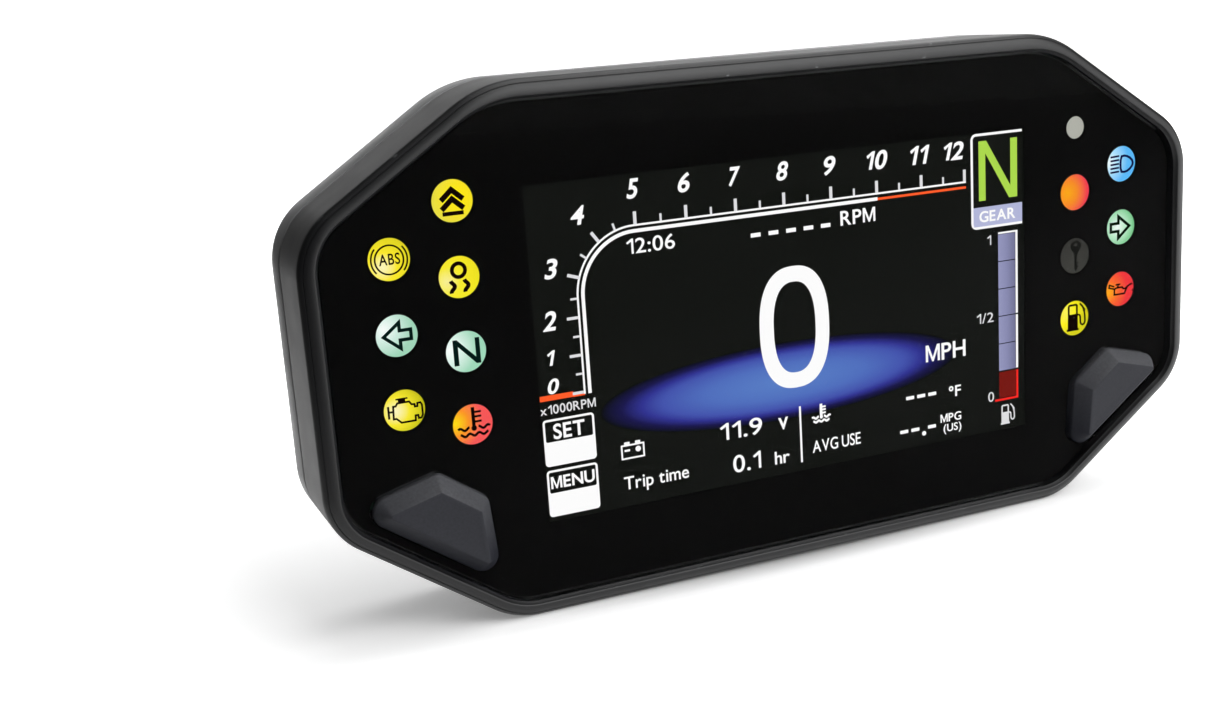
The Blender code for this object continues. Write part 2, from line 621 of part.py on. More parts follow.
def fasteners(materials, origin):
    steel = materials["steel"]
    seat = CASE_SEAT + GAP
    long_screw = [
        (CASE_SHANK, CASE_PILOT_FRONT + 1.0), (CASE_SHANK, seat), (CASE_HEAD, seat),
        (CASE_HEAD, seat + 1.6), (CASE_HEAD - 0.4, seat + 2.0), (0.8, seat + 2.0), (0.8, seat + 0.9),
    ]
    mesh = turned("case_screw", long_screw, 12)
    for number, (x, z) in enumerate(post_places()):
        add_object(f"case_screw_{number + 1}", mesh, steel, origin, (x, 0.0, z))
    rear = BOARD_BACK + GAP
    short_screw = [
        (BOARD_SHANK, BOARD_PILOT_FRONT + 1.0), (BOARD_SHANK, rear), (BOARD_HEAD, rear),
        (BOARD_HEAD, rear + 0.9), (BOARD_HEAD - 0.4, rear + 1.2),
    ]
    mesh = turned("board_screw", short_screw, 12)
    for number, (x, z) in enumerate(standoff_places()):
        add_object(f"board_screw_{number + 1}", mesh, steel, origin, (x, 0.0, z))
    insert = [
        (INSERT_RADIUS, BOSS_BACK - INSERT_LENGTH), (INSERT_RADIUS, BOSS_BACK),
        (INSERT_BORE, BOSS_BACK), (INSERT_BORE, BOSS_BACK - INSERT_LENGTH + 1.5),
    ]
    mesh = turned("mount_insert", insert, 16)
    for number, (x, z) in enumerate(MOUNT_PLACES):
        add_object(f"mount_insert_{number + 1}", mesh, materials["brass"], origin, (x, 0.0, z))


# ---------------------------------------------------------------- build

def build():
    clear_scene()
    materials = {
        "housing": make_material("housing_plastic", (0.035, 0.036, 0.040), 0.45),
        "cover": make_material("cover_plastic", (0.055, 0.056, 0.060), 0.5),
        "lens": make_material("lens_acrylic", (0.01, 0.01, 0.012), 0.05, alpha=0.35),
        "film": make_material("black_film", (0.006, 0.006, 0.006), 0.4),
        "glass": make_material("panel_glass", (0.02, 0.022, 0.025), 0.1),
        "steel": make_material("zinc_steel", (0.6, 0.6, 0.62), 0.3, metallic=1.0),
        "guide": make_material("light_guide", (0.85, 0.87, 0.9), 0.2),
        "foam": make_material("foam", (0.05, 0.05, 0.05), 0.95),
        "seal": make_material("seal_silicone", (0.03, 0.03, 0.03), 0.7),
        "pad": make_material("button_rubber", (0.035, 0.036, 0.045), 0.6),
        "board": make_material("board_laminate", (0.02, 0.12, 0.06), 0.4),
        "white": make_material("white_plastic", (0.8, 0.8, 0.78), 0.5),
        "diffuser": make_material("diffuser_sheet", (0.9, 0.9, 0.88), 0.5),
        "led": make_material("led_package", (0.85, 0.82, 0.6), 0.3),
        "flex": make_material("polyimide", (0.35, 0.16, 0.03), 0.4),
        "dark": make_material("black_nylon", (0.02, 0.02, 0.02), 0.5),
        "brass": make_material("brass", (0.72, 0.52, 0.2), 0.3, metallic=1.0),
    }
    origin = make_empty("cluster_origin", (0.0, -CENTRE_DEPTH, DISPLAY_HEIGHT))
    front_housing(materials["housing"], origin)
    rear_cover(materials["cover"], origin)
    seals(materials["seal"], origin)
    lens_and_film(materials["lens"], materials["film"], origin)
    display(materials, origin)
    display_flex(materials["flex"], materials["dark"], origin)
    lamps(materials, origin)
    main_board(materials["board"], origin)
    board_parts(materials, origin)
    for side, word in ((-1, "left"), (1, "right")):
        holder, plunger_back = button(side, word, materials["pad"], origin)
        switch(word, holder, plunger_back, materials)
    rear_socket(materials, origin)
    breather(materials, origin)
    fasteners(materials, origin)


build()
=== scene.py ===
"""Looks for the motorcycle instrument cluster: fine housing, lens and buttons, lit display
graphics, tell-tale lamps, studio light and camera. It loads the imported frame, gives its nodes
their finishes and lays finer pieces over those that show.

Shapes are drawn in cluster coordinates in millimetres: X to the rider's right, depth backwards
from the plane at the lens's front and Z upwards from near the middle of the display.
"""

import math

import bmesh
import bpy
from mathutils import Matrix, Vector


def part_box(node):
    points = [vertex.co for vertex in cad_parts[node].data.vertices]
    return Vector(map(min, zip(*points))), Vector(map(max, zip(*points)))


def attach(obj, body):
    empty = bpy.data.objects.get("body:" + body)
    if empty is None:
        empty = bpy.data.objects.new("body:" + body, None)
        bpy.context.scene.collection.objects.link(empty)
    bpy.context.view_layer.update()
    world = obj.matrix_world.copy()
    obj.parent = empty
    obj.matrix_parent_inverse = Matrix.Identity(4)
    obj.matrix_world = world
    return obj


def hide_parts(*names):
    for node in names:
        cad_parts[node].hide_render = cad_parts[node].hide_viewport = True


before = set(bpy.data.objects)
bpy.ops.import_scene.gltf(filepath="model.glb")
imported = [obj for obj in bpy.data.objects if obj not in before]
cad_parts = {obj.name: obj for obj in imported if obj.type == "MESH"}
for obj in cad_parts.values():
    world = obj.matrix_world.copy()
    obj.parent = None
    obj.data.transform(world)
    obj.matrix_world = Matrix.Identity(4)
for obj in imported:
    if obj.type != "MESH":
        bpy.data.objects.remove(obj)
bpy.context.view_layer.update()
MM = 0.001
SIDES = ((-1, "left"), (1, "right"))

# ---------------------------------------------------------------- driving sizes, from the frame

LENS_FRONT, LENS_BACK = 0.4, 1.6
PANEL_CENTRE_Z = 0.6
LENS_LOW, LENS_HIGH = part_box("front_lens")
PANEL_LOW, PANEL_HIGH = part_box("display_panel")
ORIGIN = Vector((
    0.0,
    LENS_LOW.y - LENS_FRONT * MM,
    (PANEL_LOW.z + PANEL_HIGH.z) / 2 - PANEL_CENTRE_Z * MM,
))


def depth_of(y):
    return (y - ORIGIN.y) / MM


LENS_SIDE = LENS_HIGH.x / MM
LENS_TOP = (LENS_HIGH.z - ORIGIN.z) / MM
LENS_BOTTOM = (ORIGIN.z - LENS_LOW.z) / MM
PANEL_FRONT = depth_of(PANEL_LOW.y)
SEAM = depth_of(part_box("front_housing")[1].y)
COVER_BACK = 26.0
BOSS_BACK = depth_of(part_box("rear_cover")[1].y)
SOCKET_BACK = depth_of(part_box("connector_shell")[1].y)

# The octagon's corners, and how far the housing stands outside it at each kind of edge.
TOP_CORNER_X, SIDE_TOP_Z, SIDE_BOTTOM_Z, BOTTOM_CORNER_X = 59.8, 25.2, -23.5, 61.2
CORNER_RADII = (20.0, 10.0, 9.0, 12.0)
CORNER_STEPS = 20
SHELL = (3.9, 3.3, 3.8, 3.5, 3.5)
WALL, SEAT_WALL = 2.2, 4.0
GAP = 0.3
RIM_FRONT, RIM_INNER = -0.3, 1.1
LEDGE_FRONT, LEDGE_BACK = 2.8, 4.3
LEDGE_REACH = (-3.2, -3.2, -3.2, -1.5, -3.2)
SEAL_REACH = (-2.7, -2.7, -2.7, -1.1, -2.7)
FILM_FRONT, FILM_BACK = 1.9, 2.1
SEAL_FRONT, SEAL_BACK = 12.8, 14.2
COVER_INSIDE = 24.0
COVER_EDGE_RADIUS = 3.0

WINDOW_SIZE = (108.0, 62.4)
INNER_COLUMN_X, OUTER_COLUMN_X = 66.93, 79.05
INNER_TOP_Z, OUTER_TOP_Z, LAMP_PITCH = 30.08, 21.37, 13.363
LAMP_RADIUS, SENSOR_RADIUS = 3.73, 2.29

PAD_LONG, PAD_SHORT, PAD_HEIGHT = 32.4, 10.8, 12.8
PAD_INSET, PAD_ALONG, PAD_SLOPE = 1.9, 2.8, 2.3
PAD_RADII, PAD_STEPS = (2.9, 2.9, 2.2, 2.2), 10
FLANGE_FRONT, FLANGE_BACK = LENS_BACK + 0.8, LENS_BACK + 1.8
PAD_FRONT = depth_of(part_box("button_left")[0].y)

MOUNT_PLACES = ((-40.0, 24.0), (40.0, 24.0), (0.0, -35.5))
MOUNT_BOSS_RADIUS, INSERT_RADIUS, INSERT_BORE, INSERT_LENGTH = 7.0, 3.6, 2.5, 8.0
SOCKET_Z, SOCKET_HALF, SOCKET_WALL = -8.0, (17.0, 8.0), 1.8
PINS_IN_ROW, PIN_PITCH, PIN_BACK = 8, 3.4, 28.3
BREATHER_PLACE = (58.0, -2.0)
CASE_SEAT, CASE_POCKET, CASE_PILOT = 21.0, 2.5, 1.4


# ---------------------------------------------------------------- outlines in X and Z

def edge_line(start, end):
    along = (Vector(end) - Vector(start)).normalized()
    normal = Vector((-along.y, along.x))
    return normal, normal.dot(Vector(start))


def crossing(first, second):
    (n1, d1), (n2, d2) = first, second
    det = n1.x * n2.y - n1.y * n2.x
    return Vector(((d1 * n2.y - d2 * n1.y) / det, (n1.x * d2 - n2.x * d1) / det))


def grown_edges(ends, grow):
    """The lines from each point to the next, each moved outwards by its own amount."""
    lines = [edge_line(start, end) for start, end in zip(ends, ends[1:])]
    return [(normal, distance + out) for (normal, distance), out in zip(lines, grow)]


def rounded(corners, radii, steps):
    """A closed outline with an arc of the given radius at each corner."""
    outline = []
    for i, corner in enumerate(corners):
        before = (corners[i - 1] - corner).normalized()
        after = (corners[(i + 1) % len(corners)] - corner).normalized()
        half = before.angle(after) / 2
        centre = corner + (before + after).normalized() * radii[i] / math.sin(half)
        first = corner + before * radii[i] / math.tan(half) - centre
        last = corner + after * radii[i] / math.tan(half) - centre
        turn = first.angle_signed(last)
        for step in range(steps + 1):
            arm = first.copy()
            arm.rotate(Matrix.Rotation(-turn * step / steps, 2))
            outline.append(centre + arm)
    return outline


def as_edges(grow):
    return grow if isinstance(grow, tuple) else (grow,) * 5


def octagon(grow):
    """The lens octagon with each edge moved outwards: top, upper, side, lower, bottom."""
    grow = as_edges(grow)
    ring = [
        (-TOP_CORNER_X, LENS_TOP), (TOP_CORNER_X, LENS_TOP), (LENS_SIDE, SIDE_TOP_Z),
        (LENS_SIDE, SIDE_BOTTOM_Z), (BOTTOM_CORNER_X, -LENS_BOTTOM), (-BOTTOM_CORNER_X, -LENS_BOTTOM),
    ]
    lines = grown_edges(ring, grow)
    half = [crossing(lines[i], lines[i + 1]) for i in range(4)]
    corners = half + [Vector((-p.x, p.y)) for p in reversed(half)]
    radii = [max(1.0, CORNER_RADII[i] + (grow[i] + grow[i + 1]) / 2) for i in range(4)]
    return rounded(corners, radii + radii[::-1], CORNER_STEPS)


def shell(inset):
    return tuple(edge - inset for edge in SHELL)


def between(first, second, share):
    return tuple(a + (b - a) * share for a, b in zip(as_edges(first), as_edges(second)))


def pad_outline(grow_long, grow_rest):
    """The right button's outline, grown at its long edge and at its other edges."""
    start, end = Vector((BOTTOM_CORNER_X, -LENS_BOTTOM)), Vector((LENS_SIDE, SIDE_BOTTOM_Z))
    along = (end - start).normalized()
    out = Vector((along.y, -along.x))
    base = (start + end) / 2 - out * PAD_INSET + along * PAD_ALONG
    ends = [
        base + along * PAD_LONG / 2,
        base - along * PAD_LONG / 2,
        base - along * PAD_SHORT / 2 - out * PAD_HEIGHT,
        base + along * PAD_SHORT / 2 - out * PAD_HEIGHT,
    ]
    lines = grown_edges(ends + ends[:1], (grow_long, grow_rest, grow_rest, grow_rest))
    corners = [crossing(lines[i - 1], lines[i]) for i in range(4)]
    return rounded(corners, [max(0.25, radius + grow_rest) for radius in PAD_RADII], PAD_STEPS)


def full_turn(steps):
    return [2 * math.pi * step / steps for step in range(steps)]


def points(*pairs):
    return [Vector(pair) for pair in pairs]


def oval(centre, half_x, half_z, steps=64):
    x, z = centre
    return [Vector((x + half_x * math.cos(turn), z + half_z * math.sin(turn))) for turn in full_turn(steps)]


def circle(centre, radius, steps=64):
    return oval(centre, radius, radius, steps)


def rectangle(left, right, bottom, top):
    return points((left, bottom), (right, bottom), (right, top), (left, top))


def round_rectangle(left, right, bottom, top, radius, steps=6):
    corners = points((left, top), (right, top), (right, bottom), (left, bottom))
    return rounded(corners, [radius] * 4, steps)


def mirrored(outline):
    return [Vector((-p.x, p.y)) for p in reversed(outline)]


def arc(centre, radius, first, last, steps=24):
    """Points on an arc, with its angles in degrees anticlockwise from +X."""
    turns = [math.radians(first + (last - first) * step / steps) for step in range(steps + 1)]
    x, z = centre
    return [Vector((x + radius * math.cos(turn), z + radius * math.sin(turn))) for turn in turns]


def ribbon(path, width, closed=False):
    """The outline or outlines of a line of even width through the points, with mitred corners."""
    path = points(*path)
    count = len(path)
    left, right = [], []
    for i, point in enumerate(path):
        before = point - path[i - 1] if closed or i else path[1] - point
        after = path[(i + 1) % count] - point if closed or i < count - 1 else point - path[i - 1]
        tangent = (before.normalized() + after.normalized()).normalized()
        normal = Vector((-tangent.y, tangent.x))
        reach = width / 2 / max(0.35, normal.dot(Vector((-after.y, after.x)).normalized()))
        left.append(point + normal * reach)
        right.append(point - normal * reach)
    return [left, right] if closed else [left + right[::-1]]


# ---------------------------------------------------------------- meshes

SHARP_ANGLE = 32


def loft(shape, rings, closed=False):
    """Joins rings of equally many points, each an (outline, depth) pair."""
    loops = [[shape.verts.new((p.x, depth, p.y)) for p in outline] for outline, depth in rings]
    pairs = list(zip(loops, loops[1:]))
    if closed:
        pairs.append((loops[-1], loops[0]))
    else:
        shape.faces.new(loops[0])
        shape.faces.new(loops[-1])
    for near, far in pairs:
        count = len(near)
        for i in range(count):
            shape.faces.new((near[i], near[(i + 1) % count], far[(i + 1) % count], far[i]))


def flat(shape, outlines, front, back):
    """Adds a flat closed sheet: the first outline is its edge and the others are holes."""
    edges = []
    for outline in outlines:
        loop = [shape.verts.new((p.x, front, p.y)) for p in outline]
        edges += [shape.edges.new((loop[i - 1], loop[i])) for i in range(len(loop))]
    filled = bmesh.ops.triangle_fill(shape, edges=edges, use_beauty=True)
    faces = [item for item in filled["geom"] if isinstance(item, bmesh.types.BMFace)]
    grown = bmesh.ops.extrude_face_region(shape, geom=faces)
    moved = [item for item in grown["geom"] if isinstance(item, bmesh.types.BMVert)]
    bmesh.ops.translate(shape, vec=(0.0, back - front, 0.0), verts=moved)


def sheet_piece(name, outlines, front, back, smooth=True, axis=(0.0, 0.0)):
    """A piece that is one flat sheet, as flat() makes it."""
    shape = bmesh.new()
    flat(shape, outlines, front, back)
    return finish_mesh(name, shape, smooth, axis)


def turned(shape, profile, centre, steps=48):
    """Adds a body of revolution about the depth axis from (radius, depth) pairs."""
    loft(shape, [(circle(centre, radius, steps), depth) for radius, depth in profile])


def shade_smooth(mesh):
    """Smooth shading, with a sharp edge wherever two faces meet at a clear angle."""
    mesh.shade_smooth()
    mesh.set_sharp_from_angle(angle=math.radians(SHARP_ANGLE))


def finish_mesh(name, shape, smooth=True, axis=(0.0, 0.0)):
    """Turns a bmesh drawn in cluster millimetres into an object whose origin is on the axis."""
    bmesh.ops.recalc_face_normals(shape, faces=shape.faces)
    bmesh.ops.translate(shape, vec=(-axis[0], 0.0, -axis[1]), verts=shape.verts)
    bmesh.ops.scale(shape, vec=(MM, MM, MM), verts=shape.verts)
    mesh = bpy.data.meshes.new(name)
    shape.to_mesh(mesh)
    shape.free()
    if smooth:
        shade_smooth(mesh)
    thing = bpy.data.objects.new(name, mesh)
    thing.location = ORIGIN + Vector((axis[0], 0.0, axis[1])) * MM
    bpy.context.scene.collection.objects.link(thing)
    return thing


def boolean(thing, operation, other):
    """Applies a Boolean at once and removes the other object."""
    modifier = thing.modifiers.new("cut", "BOOLEAN")
    modifier.operation = operation
    modifier.object = other
    graph = bpy.context.evaluated_depsgraph_get()
    mesh = bpy.data.meshes.new_from_object(thing.evaluated_get(graph))
    thing.modifiers.clear()
    thing.data = mesh
    bpy.data.objects.remove(other)
    shade_smooth(mesh)


def lay(thing, material, body="root", replaces=()):
    """Gives a piece its material and its body, and hides the CAD nodes it stands for."""
    thing.data.materials.clear()
    thing.data.materials.append(material)
    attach(thing, body)
    if replaces:
        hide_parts(*replaces)
    return thing


STROKE = 0.078  # the built-in font's stroke, in font units
WORD_SPACE, LETTER_SPACE = 0.25, 0.085

# Two characters are drawn here: the built-in font's figure one has no flag, and its M closes up.
OWN_GLYPHS = {
    "1": (0.33, lambda w: [
        (0.33 - w, 0.0), (0.33, 0.0), (0.33, 0.70), (0.33 - 0.8 * w, 0.70), (0.06 - 0.4 * w, 0.53),
        (0.06 + 0.15 * w, 0.53 - 0.85 * w), (0.33 - w, 0.56),
    ]),
    "M": (0.66, lambda w: [
        (0.0, 0.0), (w, 0.0), (w, 0.50), (0.33 - 0.32 * w, 0.0), (0.33 + 0.32 * w, 0.0), (0.66 - w, 0.50),
        (0.66 - w, 0.0), (0.66, 0.0), (0.66, 0.70), (0.66 - 1.25 * w, 0.70), (0.33, 0.17),
        (1.25 * w, 0.70), (0.0, 0.70),
    ]),
}


def glyph(character, bold):
    """One character as a flat mesh in font units, with its ink starting at x = 0."""
    if character in OWN_GLYPHS:
        wide, outline = OWN_GLYPHS[character]
        shape = bmesh.new()
        flat(shape, [points(*outline(STROKE + 2 * bold))], 0.0, 1.0)
        mesh = bpy.data.meshes.new("glyph")
        shape.to_mesh(mesh)
        shape.free()
        for vertex in mesh.vertices:
            vertex.co = (vertex.co.x, vertex.co.z, 0.5 - vertex.co.y)
        return mesh, wide
    curve = bpy.data.curves.new("lettering", "FONT")
    curve.body = character
    curve.offset = bold
    curve.extrude = 0.5
    curve.resolution_u = 8
    holder = bpy.data.objects.new("lettering", curve)
    bpy.context.scene.collection.objects.link(holder)
    graph = bpy.context.evaluated_depsgraph_get()
    mesh = bpy.data.meshes.new_from_object(holder.evaluated_get(graph))
    bpy.data.objects.remove(holder)
    bpy.data.curves.remove(curve)
    low = min(v.co.x for v in mesh.vertices)
    for vertex in mesh.vertices:
        vertex.co.x -= low
    return mesh, max(v.co.x for v in mesh.vertices)


def lettering(shape, text, left, right, bottom, top, front, back, bold=0.0, slant=0.0, spacing=1.0):
    """Adds text, stretched to fill the box from its lowest ink to its highest."""
    pen = 0.0
    inked, meshes = [], []
    for character in text:
        if character == " ":
            pen += WORD_SPACE
            continue
        mesh, wide = glyph(character, bold)
        for vertex in mesh.vertices:
            vertex.co.x += pen + slant * vertex.co.y
            inked.append((vertex.co.x, vertex.co.y))
        meshes.append(mesh)
        pen += wide + LETTER_SPACE * spacing
    low_x, low_y = min(x for x, _ in inked), min(y for _, y in inked)
    wide, high = max(x for x, _ in inked) - low_x, max(y for _, y in inked) - low_y
    for mesh in meshes:
        for vertex in mesh.vertices:
            x = left + (vertex.co.x - low_x) / wide * (right - left)
            z = bottom + (vertex.co.y - low_y) / high * (top - bottom)
            vertex.co = (x, front if vertex.co.z > 0 else back, z)
        shape.from_mesh(mesh)
        bpy.data.meshes.remove(mesh)


# ---------------------------------------------------------------- materials

def grey(level):
    return level, level, level, 1.0


def srgb(red, green, blue):
    def linear(value):
        share = value / 255
        return share / 12.92 if share <= 0.04045 else ((share + 0.055) / 1.055) ** 2.4
    return linear(red), linear(green), linear(blue), 1.0


class Paint:
    """A Principled material and short ways to add procedural nodes to it."""

    def __init__(self, name, color, roughness, metallic=0.0, specular=0.5):
        self.material = bpy.data.materials.new(name)
        self.material.use_nodes = True
        self.tree = self.material.node_tree
        self.shader = self.tree.nodes["Principled BSDF"]
        self.set("Base Color", (*color[:3], 1.0))
        self.set("Roughness", roughness)
        self.set("Metallic", metallic)
        self.set("Specular IOR Level", specular)
        self.coordinates = self.node("ShaderNodeTexCoord").outputs["Object"]

    def node(self, kind):
        return self.tree.nodes.new(kind)

    def set(self, socket, value):
        self.shader.inputs[socket].default_value = value
        return self

    def link(self, output, socket):
        self.tree.links.new(output, socket)

    def attribute(self, name):
        node = self.node("ShaderNodeAttribute")
        node.attribute_name = name
        return node.outputs["Fac"]

    def vector(self, operation, *values):
        """The result of Vector Math on other nodes' outputs or constant vectors."""
        node = self.node("ShaderNodeVectorMath")
        node.operation = operation
        for value, socket in zip(values, node.inputs):
            if isinstance(value, tuple):
                socket.default_value = value
            else:
                self.link(value, socket)
        return node.outputs["Value" if operation in ("LENGTH", "DOT_PRODUCT") else "Vector"]

    def map_range(self, value, *limits, kind="LINEAR"):
        """Maps a value between the first two limits to one between the last two."""
        node = self.node("ShaderNodeMapRange")
        node.interpolation_type = kind
        for name, limit in zip(("From Min", "From Max", "To Min", "To Max"), limits):
            node.inputs[name].default_value = limit
        self.link(value, node.inputs["Value"])
        return node.outputs["Result"]

    def noise(self, size, detail=3.0):
        """Noise whose features are about size millimetres across."""
        noise = self.node("ShaderNodeTexNoise")
        noise.inputs["Scale"].default_value = 1.0 / (size * MM)
        noise.inputs["Detail"].default_value = detail
        self.link(self.coordinates, noise.inputs["Vector"])
        return noise.outputs["Fac"]

    def ramp(self, factor, stops):
        ramp = self.node("ShaderNodeValToRGB")
        elements = ramp.color_ramp.elements
        while len(elements) < len(stops):
            elements.new(0.5)
        for element, (place, color) in zip(elements, stops):
            element.position = place
            element.color = color
        self.link(factor, ramp.inputs["Fac"])
        return ramp.outputs["Color"]

    def grain(self, size, strength, detail=3.0):
        """Fine surface relief from noise; strength is its height in millimetres."""
        bump = self.node("ShaderNodeBump")
        bump.inputs["Strength"].default_value = 1.0
        bump.inputs["Distance"].default_value = strength * MM
        self.link(self.noise(size, detail), bump.inputs["Height"])
        self.link(bump.outputs["Normal"], self.shader.inputs["Normal"])
        return self

    def vary(self, size, low, high, detail=4.0):
        """Roughness that wanders between low and high."""
        spread = self.map_range(self.noise(size, detail), 0.3, 0.7, low, high)
        self.link(spread, self.shader.inputs["Roughness"])
        return self

    def mottle(self, size, first, second, detail=3.0):
        """Base colour that wanders between two colours."""
        stops = [(0.35, (*first[:3], 1.0)), (0.65, (*second[:3], 1.0))]
        self.link(self.ramp(self.noise(size, detail), stops), self.shader.inputs["Base Color"])
        return self

    def glow(self, color):
        """Light of one colour, or of the colours that a node gives."""
        if isinstance(color, tuple):
            self.set("Emission Color", color)
        else:
            self.link(color, self.shader.inputs["Emission Color"])
        return self.set("Emission Strength", 1.0)


def lit_paint(name):
    return Paint(name, (0.0, 0.0, 0.0), 0.5, specular=0.0)


def housing_paint():
    """Black plastic with pale scuffs where the "wear" attribute and a patchy noise meet."""
    black, scuffed = (0.0045, 0.0046, 0.0052, 1.0), (0.16, 0.165, 0.17, 1.0)
    paint = Paint("housing_plastic_fine", black, 0.46, specular=0.4)
    worn = paint.node("ShaderNodeMath")
    worn.operation = "MULTIPLY"
    paint.link(paint.attribute("wear"), worn.inputs[0])
    paint.link(paint.ramp(paint.noise(2.2, 6.0), [(0.66, grey(0.0)), (0.74, grey(1.0))]), worn.inputs[1])
    color = paint.ramp(worn.outputs["Value"], [(0.0, black), (1.0, scuffed)])
    paint.link(color, paint.shader.inputs["Base Color"])
    paint.vary(6.0, 0.44, 0.48).grain(0.22, 0.006, 5.0)
    return paint.material


def rubber_paint():
    """Matt rubber with a fine speckle and painted shade: darker where the buttons' painted-shade attribute is
    high.
    """
    paint = Paint("button_rubber_fine", (0.05, 0.051, 0.056), 0.6, specular=0.14)
    stops = [(0.3, (0.042, 0.043, 0.047, 1.0)), (0.7, (0.056, 0.057, 0.063, 1.0))]
    speckle = paint.ramp(paint.noise(0.5, 4.0), stops)
    # Painted shade: the attribute darkens the crown and the slopes that face down, as if lit from above.
    shade = paint.ramp(paint.attribute("painted_shade"), [(0.0, grey(1.0)), (1.0, (0.17, 0.18, 0.24, 1.0))])
    paint.link(paint.vector("MULTIPLY", speckle, shade), paint.shader.inputs["Base Color"])
    paint.vary(2.0, 0.5, 0.6).grain(0.16, 0.005, 4.0)
    return paint.material


def build_paints():
    return {
        "housing": housing_paint(),
        "cover": Paint("cover_plastic_fine", (0.07, 0.072, 0.074), 0.42)
        .mottle(9.0, (0.16, 0.162, 0.165), (0.19, 0.192, 0.195)).vary(5.0, 0.36, 0.46)
        .grain(0.25, 0.008).material,
        "lens": lens_paint(),
        "film": Paint("printed_black_film", (0.0026, 0.0026, 0.0026), 0.5, specular=0.0)
        .vary(3.0, 0.45, 0.6).material,
        "rubber": rubber_paint(),
        "nylon": Paint("black_nylon_fine", (0.018, 0.018, 0.018), 0.5)
        .vary(2.0, 0.42, 0.58).grain(0.3, 0.008).material,
        "zinc": Paint("zinc_steel_fine", (0.62, 0.62, 0.64), 0.32, metallic=1.0)
        .mottle(0.8, (0.5, 0.5, 0.53), (0.7, 0.7, 0.72)).vary(0.6, 0.22, 0.42).material,
        "brass": Paint("brass_fine", (0.72, 0.52, 0.2), 0.3, metallic=1.0)
        .mottle(0.9, (0.6, 0.42, 0.15), (0.78, 0.58, 0.26)).vary(0.5, 0.2, 0.4).material,
        "tin": Paint("tin_plate", (0.75, 0.73, 0.68), 0.25, metallic=1.0).vary(0.4, 0.18, 0.35).material,
        "can": Paint("aluminium_can_fine", (0.78, 0.78, 0.79), 0.28, metallic=1.0)
        .vary(0.8, 0.2, 0.34).material,
        "white": Paint("white_plastic_fine", (0.8, 0.8, 0.78), 0.5)
        .mottle(2.0, (0.76, 0.76, 0.74), (0.84, 0.84, 0.82)).grain(0.4, 0.005).material,
        "diffuser": Paint("diffuser_sheet_fine", (0.88, 0.88, 0.86), 0.6).vary(1.0, 0.5, 0.7).material,
        "silicone": Paint("seal_silicone_fine", (0.0026, 0.0026, 0.0026), 0.6, specular=0.0)
        .vary(1.0, 0.5, 0.7).material,
        "foam": Paint("foam_fine", (0.04, 0.04, 0.04), 0.95)
        .mottle(0.6, (0.02, 0.02, 0.02), (0.07, 0.07, 0.07)).grain(0.5, 0.1).material,
        "guide": Paint("light_guide_fine", (0.85, 0.87, 0.9), 0.2).vary(2.0, 0.12, 0.25).material,
        "board": Paint("board_laminate_fine", (0.015, 0.10, 0.05), 0.35)
        .mottle(1.6, (0.010, 0.07, 0.035), (0.020, 0.13, 0.065), 1.0).vary(1.0, 0.28, 0.42).material,
        "polyimide": Paint("polyimide_fine", (0.35, 0.16, 0.03), 0.3)
        .mottle(1.2, (0.30, 0.13, 0.02), (0.42, 0.2, 0.05)).material,
        "led": Paint("led_package_fine", (0.85, 0.82, 0.6), 0.35)
        .mottle(0.9, (0.88, 0.86, 0.8), (0.85, 0.75, 0.3)).material,
        "panel": Paint("panel_glass_fine", (0.0026, 0.0026, 0.0026), 0.3, specular=0.0)
        .vary(8.0, 0.3, 0.4).glow(srgb(12, 14, 11)).material,
    }


def lens_paint():
    """Clear acrylic with an anti-reflection coating, which keeps its reflections faint."""
    paint = Paint("clear_coated_acrylic", (1.0, 1.0, 1.0), 0.02)
    paint.set("Transmission Weight", 1.0)
    paint.set("IOR", 1.04)
    paint.vary(25.0, 0.0, 0.03)
    return paint.material


# ---------------------------------------------------------------- housing

def bezel_sections():
    """Each section of the bezel and wall: how far it stands out, its depth and its share of wear."""
    lip_start, lip_radius = 0.84, (0.26, 0.3)
    band_tilt, band_rise, groove = math.radians(35), 0.8, 0.12
    corner_inset = 0.66
    corner_radius = corner_inset / (1 - math.sin(band_tilt))
    corner_start = RIM_FRONT + band_rise
    seat = SEAL_FRONT - GAP
    sections = [(0.4, LEDGE_FRONT, 0.0), (0.42, 0.55, 0.0)]
    for step in range(5):
        turn = math.radians(90 * step / 4)
        out, rise = lip_radius[0] * (1 - math.cos(turn)), lip_radius[1] * (1 - math.sin(turn))
        sections.append((lip_start + out, RIM_FRONT + rise, 1.0))
    band = [(step / 8, 0.0) for step in range(1, 7)]
    band += [(0.84, 0.0), (0.88, groove), (0.92, groove), (0.96, 0.0), (1.0, 0.0)]
    for share, sink in band:
        grow = between(RIM_INNER, shell(corner_inset), share)
        sections.append((grow, RIM_FRONT + band_rise * share ** 2 + sink, 0.25 * share))
    for step in range(1, 9):
        turn = band_tilt + (math.pi / 2 - band_tilt) * step / 8
        inset = corner_radius * (1 - math.sin(turn))
        rise = corner_radius * (math.cos(band_tilt) - math.cos(turn))
        sections.append((shell(inset), corner_start + rise, 1.0 if step < 7 else 0.2))
    return sections + [
        (SHELL, 3.0, 0.0), (SHELL, 9.0, 0.0), (SHELL, SEAM - 0.9, 0.4), (shell(0.1), SEAM - 0.75, 0.6),
        (shell(0.9), SEAM - 0.7, 0.0), (shell(0.9), SEAM, 0.0), (shell(WALL), SEAM, 0.0),
        (shell(WALL), seat, 0.0), (shell(SEAT_WALL), seat, 0.0), (shell(SEAT_WALL), LEDGE_BACK, 0.0),
        (LEDGE_REACH, LEDGE_BACK, 0.0), (LEDGE_REACH, LEDGE_FRONT, 0.0),
    ]


